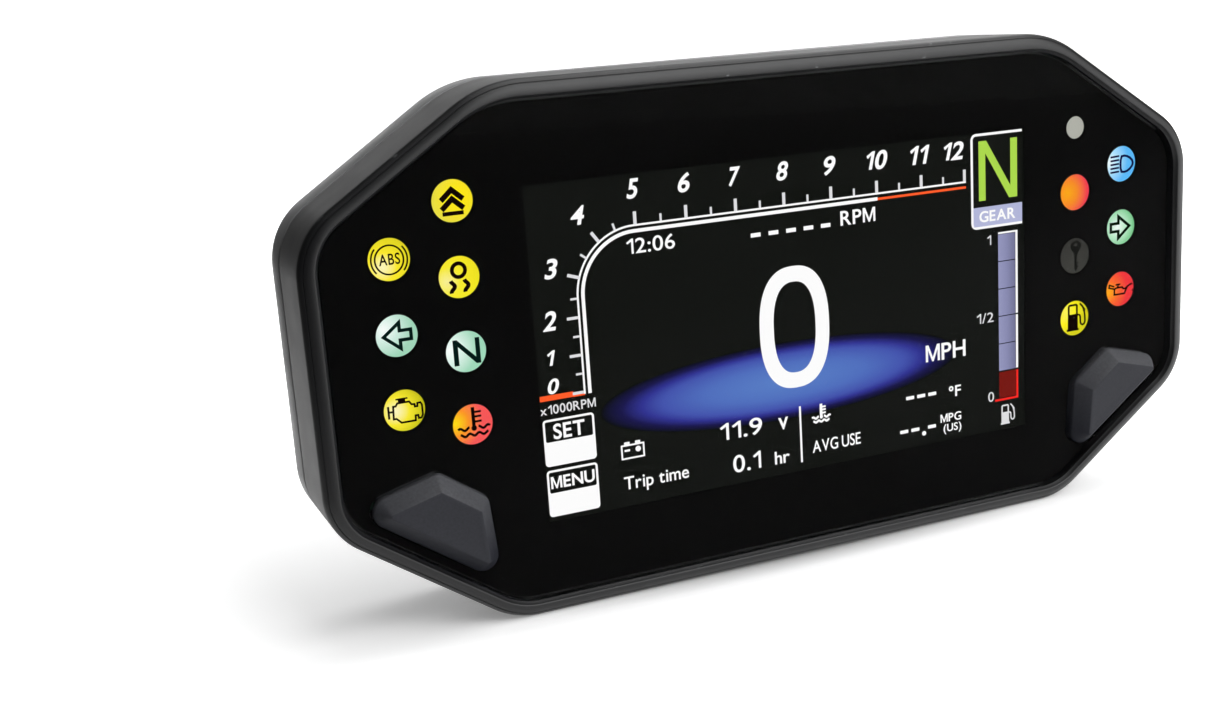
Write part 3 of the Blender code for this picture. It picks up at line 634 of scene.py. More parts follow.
def front_housing(paints):
    """The bezel's band bows back from the lens and turns a tight corner into the side wall."""
    sections = bezel_sections()
    shape = bmesh.new()
    loft(shape, [(octagon(grow), depth) for grow, depth, _ in sections], closed=True)
    housing = finish_mesh("housing_bezel", shape)
    per_ring = len(octagon(0.0))
    wear = housing.data.attributes.new("wear", "FLOAT", "POINT")
    for number, vertex in enumerate(housing.data.vertices):
        place = vertex.co / MM
        top_edge = place.z > 40.0 and -60.0 < place.x < 62.0 and place.y < 0.6
        wear.data[number].value = sections[number // per_ring][2] * (0.9 if top_edge else 0.3)
    lay(housing, paints["housing"], replaces=["front_housing"])


def screw_places():
    inset, across = 3.6, 36.0
    top, bottom, side = LENS_TOP - inset, -LENS_BOTTOM + inset, LENS_SIDE - inset
    return [(-across, top), (across, top), (-across, bottom), (across, bottom), (-side, 0.0), (side, 0.0)]


def stepped(shape, places, profile, steps=40):
    for place in places:
        turned(shape, profile, place, steps)


def rear_cover(paints):
    """The tub behind the seam, with its bosses, ribs, screw pockets and openings."""
    spigot = SEAL_BACK + GAP
    front = SEAM + GAP
    panel = COVER_BACK - 0.6
    rings = [
        (shell(6.0), COVER_INSIDE), (shell(4.3), COVER_INSIDE - 1.7), (shell(SEAT_WALL), spigot),
        (shell(WALL + GAP), spigot), (shell(WALL + GAP), front), (shell(0.25), front),
        (shell(0.08), front + 0.07), (SHELL, front + 0.25),
    ]
    for step in range(9):
        turn = math.radians(90 * step / 8)
        inset = COVER_EDGE_RADIUS * (1 - math.cos(turn))
        rings.append((shell(inset), COVER_BACK - COVER_EDGE_RADIUS * (1 - math.sin(turn))))
    rings += [(shell(6.6), COVER_BACK), (shell(7.0), COVER_BACK - 0.2), (shell(7.4), panel)]
    shape = bmesh.new()
    loft(shape, [(octagon(grow), depth) for grow, depth in rings])
    cover = finish_mesh("rear_cover_shell", shape)
    pocket = BOSS_BACK - INSERT_LENGTH - GAP
    bosses = bmesh.new()
    stepped(bosses, screw_places(), [(3.4, SEAM - 0.7), (3.4, COVER_INSIDE + 0.8)])
    boss = [(MOUNT_BOSS_RADIUS, pocket - 1.5), (MOUNT_BOSS_RADIUS, BOSS_BACK - 0.5)]
    stepped(bosses, MOUNT_PLACES, boss + [(MOUNT_BOSS_RADIUS - 0.5, BOSS_BACK)])
    boolean(cover, "UNION", finish_mesh("bosses", bosses))
    ribs = bmesh.new()
    for x, z in MOUNT_PLACES:
        for quarter in range(4):
            turn = math.radians(45 + 90 * quarter)
            way = Vector((math.cos(turn), math.sin(turn)))
            line = ribbon([Vector((x, z)) + way * 5.5, Vector((x, z)) + way * 11.5], 1.4)
            flat(ribs, line, panel - 0.5, COVER_BACK + 0.9)
    boolean(cover, "UNION", finish_mesh("ribs", ribs))
    holes = bmesh.new()
    screw_hole = [(CASE_PILOT, SEAM - 1.0), (CASE_PILOT, CASE_SEAT), (CASE_POCKET, CASE_SEAT)]
    stepped(holes, screw_places(), screw_hole + [(CASE_POCKET, COVER_BACK + 1.0)])
    stepped(holes, MOUNT_PLACES, [(INSERT_RADIUS + 0.05, pocket), (INSERT_RADIUS + 0.05, BOSS_BACK + 1.0)])
    stepped(holes, [BREATHER_PLACE], [(2.0, COVER_INSIDE - 1.0), (2.0, COVER_BACK + 1.0)])
    half_x, half_z = SOCKET_HALF[0] + GAP, SOCKET_HALF[1] + GAP
    opening = round_rectangle(-half_x, half_x, SOCKET_Z - half_z, SOCKET_Z + half_z, 2.4)
    flat(holes, [opening], COVER_INSIDE - 1.0, COVER_BACK + 1.0)
    boolean(cover, "DIFFERENCE", finish_mesh("holes", holes))
    lay(cover, paints["cover"], replaces=["rear_cover"])


# ---------------------------------------------------------------- lens and film

def lamp_places(side):
    inner = [(side * INNER_COLUMN_X, INNER_TOP_Z - LAMP_PITCH * row) for row in range(4)]
    outer = [(side * OUTER_COLUMN_X, OUTER_TOP_Z - LAMP_PITCH * row) for row in range(3)]
    return inner + outer


def lens_and_film(paints):
    openings = [pad_outline(0.35, 0.35), mirrored(pad_outline(0.35, 0.35))]
    lens = sheet_piece("clear_lens", [octagon(0.0)] + openings, LENS_FRONT, LENS_BACK)
    lay(lens, paints["lens"], replaces=["front_lens"])
    sensor = lamp_places(1)[0]
    windows = [
        circle(place, SENSOR_RADIUS if place == sensor else LAMP_RADIUS)
        for place in lamp_places(-1) + lamp_places(1)
    ]
    half_x, half_z = WINDOW_SIZE[0] / 2, WINDOW_SIZE[1] / 2
    windows.append(rectangle(-half_x, half_x, -half_z, half_z))
    film = sheet_piece("printed_film", [octagon(-0.1)] + openings + windows, FILM_FRONT, FILM_BACK)
    lay(film, paints["film"], replaces=["applique"])
    seal = sheet_piece("seal_strip", [octagon(-0.1), octagon(SEAL_REACH)], FILM_BACK + 0.05, LEDGE_FRONT)
    lay(seal, paints["silicone"], replaces=["lens_seal"])


# ---------------------------------------------------------------- display graphics

GRAPHICS_FRONT, GRAPHICS_BACK = PANEL_FRONT - 0.12, PANEL_FRONT - 0.07
WHITE = srgb(252, 252, 252)
ORANGE = srgb(255, 92, 42)
LAVENDER = srgb(178, 182, 216)


class Layer:
    """One colour of display graphics: everything added to it becomes one lit piece."""

    def __init__(self, name, color, front=GRAPHICS_FRONT, back=GRAPHICS_BACK):
        self.name, self.color, self.front, self.back = name, color, front, back
        self.shape = bmesh.new()

    def sheet(self, *outlines):
        flat(self.shape, list(outlines), self.front, self.back)

    def line(self, path, width, closed=False):
        self.sheet(*ribbon(path, width, closed))

    def bar(self, left, right, bottom, top):
        self.sheet(rectangle(left, right, bottom, top))

    def text(self, body, left, right, bottom, top, bold=0.0, slant=0.0, spacing=1.0):
        box = (left, right, bottom, top)
        lettering(self.shape, body, *box, self.front, self.back, bold, slant, spacing)

    def words(self, *rows):
        """Adds several texts, each given as its body, its box and how much bolder it is."""
        for body, *box, bold in rows:
            self.text(body, *box, bold=bold)

    def finish(self):
        thing = finish_mesh(self.name, self.shape, smooth=False)
        paint = lit_paint(self.name).glow(self.color).vary(3.0, 0.45, 0.6)
        lay(thing, paint.material)


def tachometer(white, thin, orange):
    """Scale up the left edge, round a quarter circle and along the top, with its numbers."""
    centre, radius = Vector((-33.1, 9.85)), 11.9
    left, top, end = centre.x - radius, centre.y + radius, 39.93
    foot = -8.1
    inner, limit = radius - 1.04, 19.1
    long_tick, short_tick = 2.4, 1.45
    white.line([(left, foot)] + arc(centre, radius, 180, 90) + [(end, top)], 0.36)
    track = [(centre.x - inner, foot)] + arc(centre, inner, 180, 90) + [(limit, centre.y + inner)]
    white.line(track, 0.66)
    orange.bar(limit, end, centre.y + inner - 0.27, centre.y + inner + 0.2)
    for half in range(6):
        z = -7.71 + 3.5 * half
        reach, width = (short_tick, 0.2) if half % 2 else (long_tick, 0.27)
        thin.bar(left - reach, left - 0.1, z - width, z + width)
    for half in range(1, 5):
        turn = math.radians(180 - 18 * half)
        way = Vector((math.cos(turn), math.sin(turn)))
        reach, width = (long_tick, 0.6) if half % 2 else (short_tick, 0.42)
        thin.line([centre + way * (radius - 0.05), centre + way * (radius + reach)], width)
    for half in range(15):
        x = -32.75 + 10.345 * half / 2
        reach, width = (1.55, 0.21) if half % 2 else (2.5, 0.32)
        thin.bar(min(x - width, end - 2 * width), min(x + width, end), top + 0.1, top + reach)
    orange.bar(-WINDOW_SIZE[0] / 2, -47.3, -8.25, -7.25)
    orange.bar(-47.3, left, -8.3, -7.98)
    numbers = {
        "0": (-52.15, -49.9, -7.1, -4.25), "1": (-51.75, -50.2, -1.8, 0.98),
        "2": (-52.15, -49.45, 4.6, 8.2), "3": (-51.1, -48.4, 14.0, 17.65),
        "4": (-45.25, -42.55, 23.1, 26.55), "5": (-34.1, -31.6, 26.6, 30.25),
        "6": (-23.75, -21.3, 26.6, 30.25), "7": (-13.25, -10.7, 26.6, 30.2),
        "8": (-3.1, -0.5, 26.55, 30.15), "9": (7.3, 9.9, 26.45, 30.1),
        "10": (16.9, 21.6, 26.4, 30.1), "11": (26.9, 31.4, 26.4, 30.05),
        "12": (34.8, 39.5, 26.4, 30.0),
    }
    for body, box in numbers.items():
        white.text(body, *box, bold=0.022, slant=0.22)
    thin.text("x1000RPM", -54.0, -43.0, -10.85, -9.1, bold=0.01)


def speed(white):
    """The large zero is a closed line of even width round a tall rounded oval."""
    centre, half, squareness = Vector((-0.45, -2.1)), Vector((7.7, 12.05)), 2.45

    def rounded_oval(grow):
        outline = []
        for turn in full_turn(96):
            c, s = math.cos(turn), math.sin(turn)
            x = math.copysign(abs(c) ** (2 / squareness), c) * (half.x + grow)
            z = math.copysign(abs(s) ** (2 / squareness), s) * (half.y + grow)
            outline.append(centre + Vector((x, z)))
        return outline

    white.sheet(rounded_oval(0.0), rounded_oval(-3.05))
    white.text("MPH", 29.6, 39.3, -13.95, -10.42, bold=0.012)


def key_tiles(white):
    """Two soft-key tiles: a frame, a word on black above and a lit field below."""
    for word, top, bottom, split, ink, reach in (
        ("SET", -11.8, -20.7, -16.1, (-15.7, -12.75), 3.1),
        ("MENU", -21.46, -30.4, -25.86, (-25.1, -22.7), 4.35),
    ):
        left, right, edge = -53.7, -43.55, 0.4
        middle = (left + right) / 2
        window = round_rectangle(left + edge, right - edge, split, top - edge, 0.35)
        white.sheet(round_rectangle(left, right, bottom, top, 0.7), window)
        white.text(word, middle - reach, middle + reach, *ink, bold=0.02)


def clock_and_dashes(white):
    white.text("12:06", -34.8, -25.0, 16.5, 19.35, bold=0.006)
    for number in range(5):
        x = -8.07 + 3.83 * number
        white.bar(x - 1.05, x + 1.05, 16.5, 17.28)
    white.text("RPM", 10.6, 18.5, 16.4, 19.25, bold=0.012)


def gear_box(white, green, lavender):
    """A frame that is open to the right, the neutral letter and a labelled strip below it."""
    left, right, top, bottom, radius = 41.43, 53.7, 30.8, 12.04, 1.0
    frame_line = [(right, top)] + arc((left + radius, top - radius), radius, 90, 180, 6)
    frame_line += arc((left + radius, bottom + radius), radius, 180, 270, 6) + [(right, bottom)]
    white.line(frame_line, 0.5)
    lavender.bar(left + 0.25, right, bottom + 0.25, 16.2)
    strip = Layer("gear_label", WHITE, lavender.front - 0.05, lavender.front - 0.01)
    strip.text("GEAR", 43.1, 51.96, 13.1, 15.4, bold=0.02)
    strip.finish()
    green.sheet(points(
        (43.1, 17.5), (44.7, 17.5), (44.7, 27.05), (50.5, 17.5), (52.5, 17.5),
        (52.5, 29.5), (50.85, 29.5), (50.85, 19.9), (44.95, 29.5), (43.1, 29.5),
    ))


def fuel_gauge(white, thin, red):
    """Six segments between black dividers; the lowest is red, with a red line round it."""
    left, right, line, half_line = 47.7, 51.86, 52.25, 0.25
    inner, outer = line - half_line, line + half_line
    splits = [10.14, 4.54, -1.2, -6.95, -12.8, -18.65, -24.4]
    gauge = bmesh.new()
    for number in range(5):
        top = splits[number] - (0.1 if number else 0.0)
        flat(gauge, [rectangle(left, right, splits[number + 1] + 0.1, top)], GRAPHICS_FRONT, GRAPHICS_BACK)
    paint = lit_paint("fuel_segments")
    apart = paint.node("ShaderNodeSeparateXYZ")
    paint.link(paint.coordinates, apart.inputs["Vector"])
    share = paint.map_range(apart.outputs["X"], left * MM, right * MM)
    stops = [(0.0, srgb(150, 152, 190)), (0.5, srgb(136, 138, 176)), (1.0, srgb(112, 113, 146))]
    paint.glow(paint.ramp(share, stops))
    lay(finish_mesh("fuel_segments", gauge, smooth=False), paint.material)
    low = Layer("fuel_reserve", srgb(118, 24, 18))
    low.bar(left, right, splits[6], splits[5] - half_line)
    low.finish()
    white.bar(left, outer, splits[0] + 0.1, splits[0] + 0.45)
    white.bar(inner, outer, splits[3] + 0.15, splits[0] + 0.1)
    white.bar(inner, outer, splits[5] + 0.15, splits[3] - 0.15)
    start, foot, floor, top = 46.6, -25.05, -24.6, splits[5] - half_line
    corner = points((start, foot), (outer, foot), (outer, top), (inner, top), (inner, floor), (start, floor))
    red.sheet(corner)
    thin.text("1", 45.0, 45.95, 8.25, 10.25)
    thin.text("1/2", 42.2, 46.35, -7.85, -5.75)
    thin.text("0", 44.85, 46.3, -24.85, -22.75)


def pump_symbol(layer, left, bottom, scale):
    """A fuel pump: body with a window, base, and a hose with its nozzle."""
    def placed(*pairs):
        return [Vector((left + x * scale, bottom + z * scale)) for x, z in pairs]
    body = placed((0.25, 0.45), (2.75, 0.45), (2.75, 5.3), (2.4, 5.65), (0.6, 5.65), (0.25, 5.3))
    layer.sheet(body, placed((0.65, 3.5), (2.35, 3.5), (2.35, 5.25), (0.65, 5.25)))
    layer.sheet(placed((0.0, 0.0), (3.0, 0.0), (3.0, 0.45), (0.0, 0.45)))
    hose = placed(
        (2.75, 3.3), (3.2, 3.2), (3.42, 2.8), (3.45, 1.6), (3.65, 1.2), (4.05, 1.0),
        (4.45, 1.2), (4.65, 1.7), (4.6, 2.9), (4.4, 4.1), (3.95, 4.95), (3.3, 5.6),
    )
    layer.line(hose, 0.36 * scale)
    layer.sheet(placed((4.1, 3.9), (4.55, 3.6), (4.75, 4.2), (4.3, 4.75)))


def coolant_symbol(layer, centre, scale, weight):
    """A thermometer standing in two waves."""
    def at(x, z):
        return Vector((centre[0] + x * scale, centre[1] + z * scale))
    layer.line([at(0.0, 3.1), at(0.0, -0.6)], weight * 1.4)
    layer.sheet(circle(at(0.0, -0.75), 0.5 * scale, 24))
    for z in (2.17, 1.33, 0.4):
        layer.line([at(0.15, z), at(1.5, z)], weight * 0.85)
    for start, finish, level in ((-3.0, -0.85, -0.75), (0.85, 3.0, -0.75), (-2.6, 2.6, -1.9)):
        wave = []
        for step in range(25):
            x = start + (finish - start) * step / 24
            wave.append(at(x, level + 0.24 * math.cos(2 * math.pi * x / 1.75 + math.pi)))
        layer.line(wave, weight)


def data_rows(white):
    """Battery voltage and trip time on the left, coolant and consumption on the right."""
    white.line(rectangle(-38.45, -33.95, -21.95, -19.4), 0.32, closed=True)
    bars = [(-37.9, -36.8, -19.25, -18.75), (-35.65, -34.6, -19.25, -18.75), (-37.9, -36.8, -20.6, -20.2)]
    bars.append((-0.25, 0.15, -29.6, -18.1))
    bars += [(x - 0.95, x + 0.95, -21.05, -20.35) for x in (25.6, 28.28, 30.96)]
    bars += [(x - 0.95, x + 0.95, -27.95, -27.25) for x in (24.0, 26.7, 30.75)]
    for bar in bars:
        white.bar(*bar)
    white.sheet(circle((-35.1, -20.4), 0.55, 24))
    coolant_symbol(white, (4.72, -20.55), 0.7, 0.42)
    white.sheet(circle((35.62, -20.4), 0.55, 24), circle((35.62, -20.4), 0.25, 24))
    white.sheet(circle((28.8, -28.75), 0.48, 24))
    white.words(
        ("11.9", -17.8, -8.6, -22.15, -18.7, 0.006), ("v", -5.0, -2.8, -22.15, -19.7, 0.008),
        ("Trip time", -38.4, -24.9, -28.85, -25.5, 0.008), ("0.1", -15.3, -9.2, -29.05, -25.5, 0.006),
        ("hr", -6.1, -2.8, -29.0, -26.4, 0.012), ("AVG USE", 2.5, 13.6, -28.2, -25.7, 0.006),
        ("F", 36.6, 38.0, -22.15, -19.85, 0.012), ("MPG", 32.9, 38.0, -27.3, -25.5, 0.012),
        ("(US)", 33.6, 38.0, -29.9, -27.75, 0.012),
    )


def blue_glow():
    """A soft ellipse of blue light behind the speed, brightest below its middle."""
    centre, half = (-2.6, -12.5), (39.5, 7.7)
    outlines = [oval(centre, *half, 128)]
    thing = sheet_piece("blue_glow", outlines, PANEL_FRONT - 0.05, PANEL_FRONT - 0.02, False, centre)
    paint = lit_paint("blue_glow")
    scale = (1 / (half[0] * MM), 0.0, 1 / (half[1] * MM))
    reach = paint.vector("LENGTH", paint.vector("MULTIPLY", paint.coordinates, scale))
    paint.glow(paint.ramp(reach, [
        (0.0, srgb(90, 128, 198)), (0.45, srgb(80, 110, 188)), (0.68, srgb(68, 84, 172)),
        (0.79, srgb(48, 50, 142)), (0.89, srgb(27, 25, 76)), (1.0, srgb(15, 17, 14)),
    ]))
    lay(thing, paint.material)


def display_graphics():
    white = Layer("display_white", WHITE)
    thin = Layer("display_grey", srgb(222, 222, 224))
    orange = Layer("display_orange", ORANGE)
    red = Layer("display_red", srgb(238, 40, 34))
    green = Layer("display_green", srgb(172, 216, 78))
    lavender = Layer("display_lavender", LAVENDER)
    blue_glow()
    tachometer(white, thin, orange)
    speed(white)
    key_tiles(white)
    clock_and_dashes(white)
    gear_box(white, green, lavender)
    fuel_gauge(white, thin, red)
    pump_symbol(thin, 48.0, -30.3, 0.75)
    data_rows(white)
    for layer in (white, thin, orange, red, green, lavender):
        layer.finish()


# ---------------------------------------------------------------- lamps

FACE_FRONT, FACE_BACK = FILM_BACK + 0.04, FILM_BACK + 0.2
INK_FRONT, INK_BACK = FILM_FRONT + 0.12, FILM_BACK + 0.02
COLOR_PLACES = (0.0, 0.33, 0.68)  # where a lamp's three colours lie, in lamp diameters from its spot


def lamp_face(name, place, radius, spot, colors):
    """A lit disc whose colour runs outwards from a spot in it, given in millimetres."""
    disc = sheet_piece(name, [circle(place, radius + 0.12)], FACE_FRONT, FACE_BACK, False, place)
    paint = lit_paint(name)
    offset = paint.vector("SUBTRACT", paint.coordinates, (spot[0] * MM, 0.0, spot[1] * MM))
    scale = 1 / (2 * LAMP_RADIUS * MM)
    reach = paint.vector("LENGTH", paint.vector("MULTIPLY", offset, (scale, 0.0, scale)))
    paint.glow(paint.ramp(reach, [(share, srgb(*color)) for share, color in zip(COLOR_PLACES, colors)]))
    lay(disc, paint.material)


class Symbol(Layer):
    """Dark ink on one lamp, drawn in millimetres from the lamp's centre."""

    def __init__(self, name, place, ink):
        super().__init__(name, ink, INK_FRONT, INK_BACK)
        self.place = place

    def stamp(self):
        bmesh.ops.translate(self.shape, vec=(self.place[0], 0.0, self.place[1]), verts=self.shape.verts)
        thing = finish_mesh(self.name, self.shape, smooth=False, axis=self.place)
        paint = lit_paint(self.name).glow(self.color).vary(1.0, 0.5, 0.7)
        lay(thing, paint.material)


def shift_symbol(ink):
    """Two chevrons pointing up, over a bar."""
    for base in (0.15, -1.45):
        ink.line([(-2.0, base), (0.0, base + 1.75), (2.0, base)], 0.95)
    ink.bar(-1.9, 1.9, -2.55, -1.85)


def traction_symbol(ink):
    """A wheel over two wavy skid marks."""
    ink.line(circle((0.0, 1.2), 1.2, 40), 0.68, closed=True)
    for side in (-1, 1):
        levels = [-0.55 - 0.2 * step for step in range(12)]
        ink.line([(side * 1.25 + 0.34 * math.sin(3.0 * z), z) for z in levels], 0.72)


def neutral_symbol(ink):
    ink.sheet(points(
        (-2.3, -2.4), (-1.42, -2.4), (-1.42, 1.0), (1.8, -2.4), (2.62, -2.4),
        (2.62, 2.25), (1.8, 2.25), (1.8, -1.2), (-1.55, 2.25), (-2.3, 2.25),
    ))


def brake_symbol(ink):
    """The ring and side arcs of the anti-lock lamp, with its standard letters."""
    ink.line(circle((0.05, -0.08), 2.52, 56), 0.29, closed=True)
    for side in (-1, 1):
        middle = 90 - side * 90
        ink.line(arc((0.05, -0.08), 3.2, middle - 41, middle + 41), 0.28)
    ink.text("ABS", -1.76, 1.95, -0.98, 1.0, bold=0.012, spacing=1.1)


def arrow_symbol(ink, side):
    corners = [(-2.35, 0.0), (0.55, 2.25), (0.55, 0.82), (2.55, 0.82)]
    corners += [(2.55, -0.86), (0.55, -0.86), (0.55, -2.35)]
    ink.line([(-side * x, z) for x, z in corners], 0.6, closed=True)


def engine_symbol(ink):
    outline = [
        (-1.95, 0.93), (-1.5, 0.93), (-1.15, 1.42), (0.98, 1.42), (1.36, 0.86), (1.9, 0.8), (1.93, 0.36),
        (2.38, 0.36), (2.42, 0.92), (2.98, 0.95), (3.22, 0.5), (3.22, -1.3), (2.95, -1.82), (2.44, -1.82),
        (2.38, -1.26), (1.9, -1.26), (1.86, -2.15), (-0.7, -2.15), (-1.55, -1.33), (-2.05, -1.33),
    ]
    ink.line(outline, 0.34, closed=True)
    ink.line([(-2.85, 1.05), (-2.85, -1.2)], 0.36)
    ink.line([(-2.85, 0.0), (-2.05, 0.0)], 0.34)
    ink.line([(-1.4, 2.12), (0.75, 2.12)], 0.27)
    ink.bar(-1.0, 0.3, 1.45, 2.05)


def key_symbol(ink):
    """A key hanging down, with an oval hole in its bow and teeth on one side."""
    x = 0.36
    ink.sheet(oval((x, 1.95), 1.35, 1.25, 32), oval((x, 2.3), 0.46, 0.36, 20))
    ink.sheet([Vector((x + dx, z)) for dx, z in (
        (-0.6, 0.95), (-0.6, 0.35), (-0.36, 0.35), (-0.36, -2.95), (-0.05, -3.3), (0.3, -2.95),
        (0.3, -2.6), (0.95, -2.4), (0.3, -2.1), (0.3, -1.85), (0.95, -1.6), (0.3, -1.3),
        (0.36, 0.35), (0.6, 0.35), (0.6, 0.95),
    )])


def beam_symbol(ink):
    ink.line([
        (0.15, 1.55), (0.9, 1.62), (1.6, 1.45), (2.35, 1.05), (2.95, 0.45), (3.12, -0.1), (2.95, -0.65),
        (2.35, -1.25), (1.6, -1.65), (0.9, -1.78), (0.15, -1.7), (-0.1, -1.0), (-0.15, -0.1), (-0.1, 0.8),
    ], 0.46, closed=True)
    for row in range(5):
        z = 1.62 - 0.81 * row
        ink.line([(-2.75, z - 0.05), (-0.55, z + 0.05)], 0.38)


def oil_symbol(ink):
    top = [(-1.45, 0.1), (-0.8, 0.3), (0.65, 0.3), (0.95, -0.1), (1.5, -0.1), (2.2, 0.35), (3.1, 0.75)]
    ink.line(top + [(3.35, 0.6)], 0.34)
    bottom = [(1.95, 0.1), (1.25, -1.15), (-1.45, -1.15), (-1.45, 0.1), (-2.9, 0.5), (-2.78, 1.1)]
    ink.line(bottom + [(-1.5, 0.62)], 0.34)
    ink.line([(-1.1, 0.98), (0.1, 0.98)], 0.36)
    ink.line([(-0.5, 0.98), (-0.5, 0.35)], 0.36)
    ink.sheet(points((3.45, -0.35), (3.65, -0.75), (3.5, -0.98), (3.28, -0.85)))


def lamps():
    """Each lamp: its lit face and, on most of them, a symbol in ink; the light sensor's window gets a lit
    face too, as painted light.
    """
    black, navy, pine = srgb(16, 6, 4), srgb(12, 12, 66), srgb(4, 26, 22)
    yellow = ((252, 246, 190), (250, 232, 44), (222, 212, 36))
    faces = {
        "left": [
            ((1.2, 0.4), ((255, 232, 8), (248, 228, 34), (228, 218, 72)), shift_symbol, black),
            ((-2.2, -0.6), ((247, 238, 150), (246, 234, 48), (240, 228, 36)), traction_symbol, black),
            ((-3.0, 0.6), ((250, 255, 253), (216, 240, 228), (160, 216, 186)), neutral_symbol, pine),
            ((-3.2, 0.6), ((252, 222, 20), (250, 150, 38), (244, 88, 88)), None, black),
            ((-1.2, -1.2), yellow, brake_symbol, black),
            ((-2.2, 1.4), ((246, 252, 249), (206, 235, 222), (160, 212, 184)), None, pine),
            ((-1.6, 0.0), ((252, 246, 196), (247, 232, 50), (196, 192, 24)), engine_symbol, black),
        ],
        "right": [
            # The first right place is the light sensor's window, which is no lamp: its even grey glow is
            # painted light.
            ((0.0, 0.0), ((176, 177, 168), (172, 173, 164), (168, 169, 160)), None, black),
            ((-1.8, 0.0), ((250, 170, 22), (246, 140, 40), (238, 62, 80)), None, black),
            ((0.0, -2.0), ((66, 66, 62), (60, 60, 57), (54, 54, 51)), key_symbol, srgb(24, 25, 23)),
            ((-2.2, 1.4), ((250, 240, 90), (250, 238, 30), (214, 208, 30)), None, black),
            ((-3.2, 0.6), ((240, 250, 252), (172, 222, 249), (92, 184, 246)), beam_symbol, navy),
            ((-0.8, 0.0), ((240, 250, 244), (178, 226, 192), (86, 190, 112)), None, srgb(4, 22, 8)),
            ((-3.0, -0.4), ((252, 172, 22), (248, 108, 46), (236, 56, 62)), oil_symbol, black),
        ],
    }
    for side, word in SIDES:
        rows = zip(lamp_places(side), faces[word])
        for number, (place, (spot, colors, draw, color)) in enumerate(rows):
            radius = SENSOR_RADIUS if (word, number) == ("right", 0) else LAMP_RADIUS
            lamp_face(f"lamp_face_{word}_{number + 1}", place, radius, spot, colors)
            ink = Symbol(f"lamp_symbol_{word}_{number + 1}", place, color)
            if draw:
                draw(ink)
            elif (word, number) == ("left", 3):
                coolant_symbol(ink, (0.2, 0.0), 1.0, 0.44)
            elif (word, number) == ("right", 3):
                pump_symbol(ink, -1.9, -2.75, 1.02)
            elif number == 5:
                arrow_symbol(ink, side)
            else:
                ink.shape.free()
                continue
            ink.stamp()


# ---------------------------------------------------------------- buttons, socket, fasteners

def buttons(paints):
    """A slightly dished top, sloped sides, a skirt through the lens and a flange behind it."""
    rings = [(-PAD_SLOPE - 1.6, PAD_FRONT + 0.10), (-PAD_SLOPE - 0.9, PAD_FRONT + 0.04)]
    rings += [(-PAD_SLOPE - 0.35, PAD_FRONT), (-PAD_SLOPE - 0.2, PAD_FRONT + 0.03)]
    rings += [(-PAD_SLOPE - 0.08, PAD_FRONT + 0.12), (-1.2, -1.15), (-0.25, 0.05), (-0.1, 0.25)]
    rings += [(0.0, 0.5), (0.0, FLANGE_FRONT)]
    for side, word in SIDES:
        outlines = [(pad_outline(grow, grow), depth) for grow, depth in rings]
        outlines += [(pad_outline(-0.3, 0.8), depth) for depth in (FLANGE_FRONT, FLANGE_BACK)]
        if side < 0:
            outlines = [(mirrored(outline), depth) for outline, depth in outlines]
        shape = bmesh.new()
        loft(shape, outlines)
        low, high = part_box("switch_stem_" + word)
        centre = (low + high) / 2 - ORIGIN
        plunger = [(2.5, FLANGE_BACK - 0.5), (2.5, FLANGE_BACK + 0.7)]
        turned(shape, plunger, (centre.x / MM, centre.z / MM), 32)
        pad = finish_mesh("rubber_button_" + word, shape)
        # Shade painted into the rubber: darker crown and downward slopes, paler upward slopes.
        paint_slope_shade(pad, centre)
        lay(pad, paints["rubber"], "button_" + word, ["button_" + word])


def paint_slope_shade(pad, centre):
    """Writes the painted-shade attribute: high on the crown and low on the slopes that face upwards, painting
    those slopes lit and the rest shaded.
    """
    painted_shade = pad.data.attributes.new("painted_shade", "FLOAT", "POINT")
    upwards = Vector((0.15, 0.99))
    for vertex in pad.data.vertices:
        way = Vector((vertex.co.x - centre.x, vertex.co.z - centre.z)).normalized()
        painted_light_share = min(1.0, max(0.0, (way.dot(upwards) + 0.2) / 0.8))
        on_crown = vertex.co.y / MM < PAD_FRONT + 0.11
        painted_shade.data[vertex.index].value = 0.75 if on_crown else 1.0 - painted_light_share


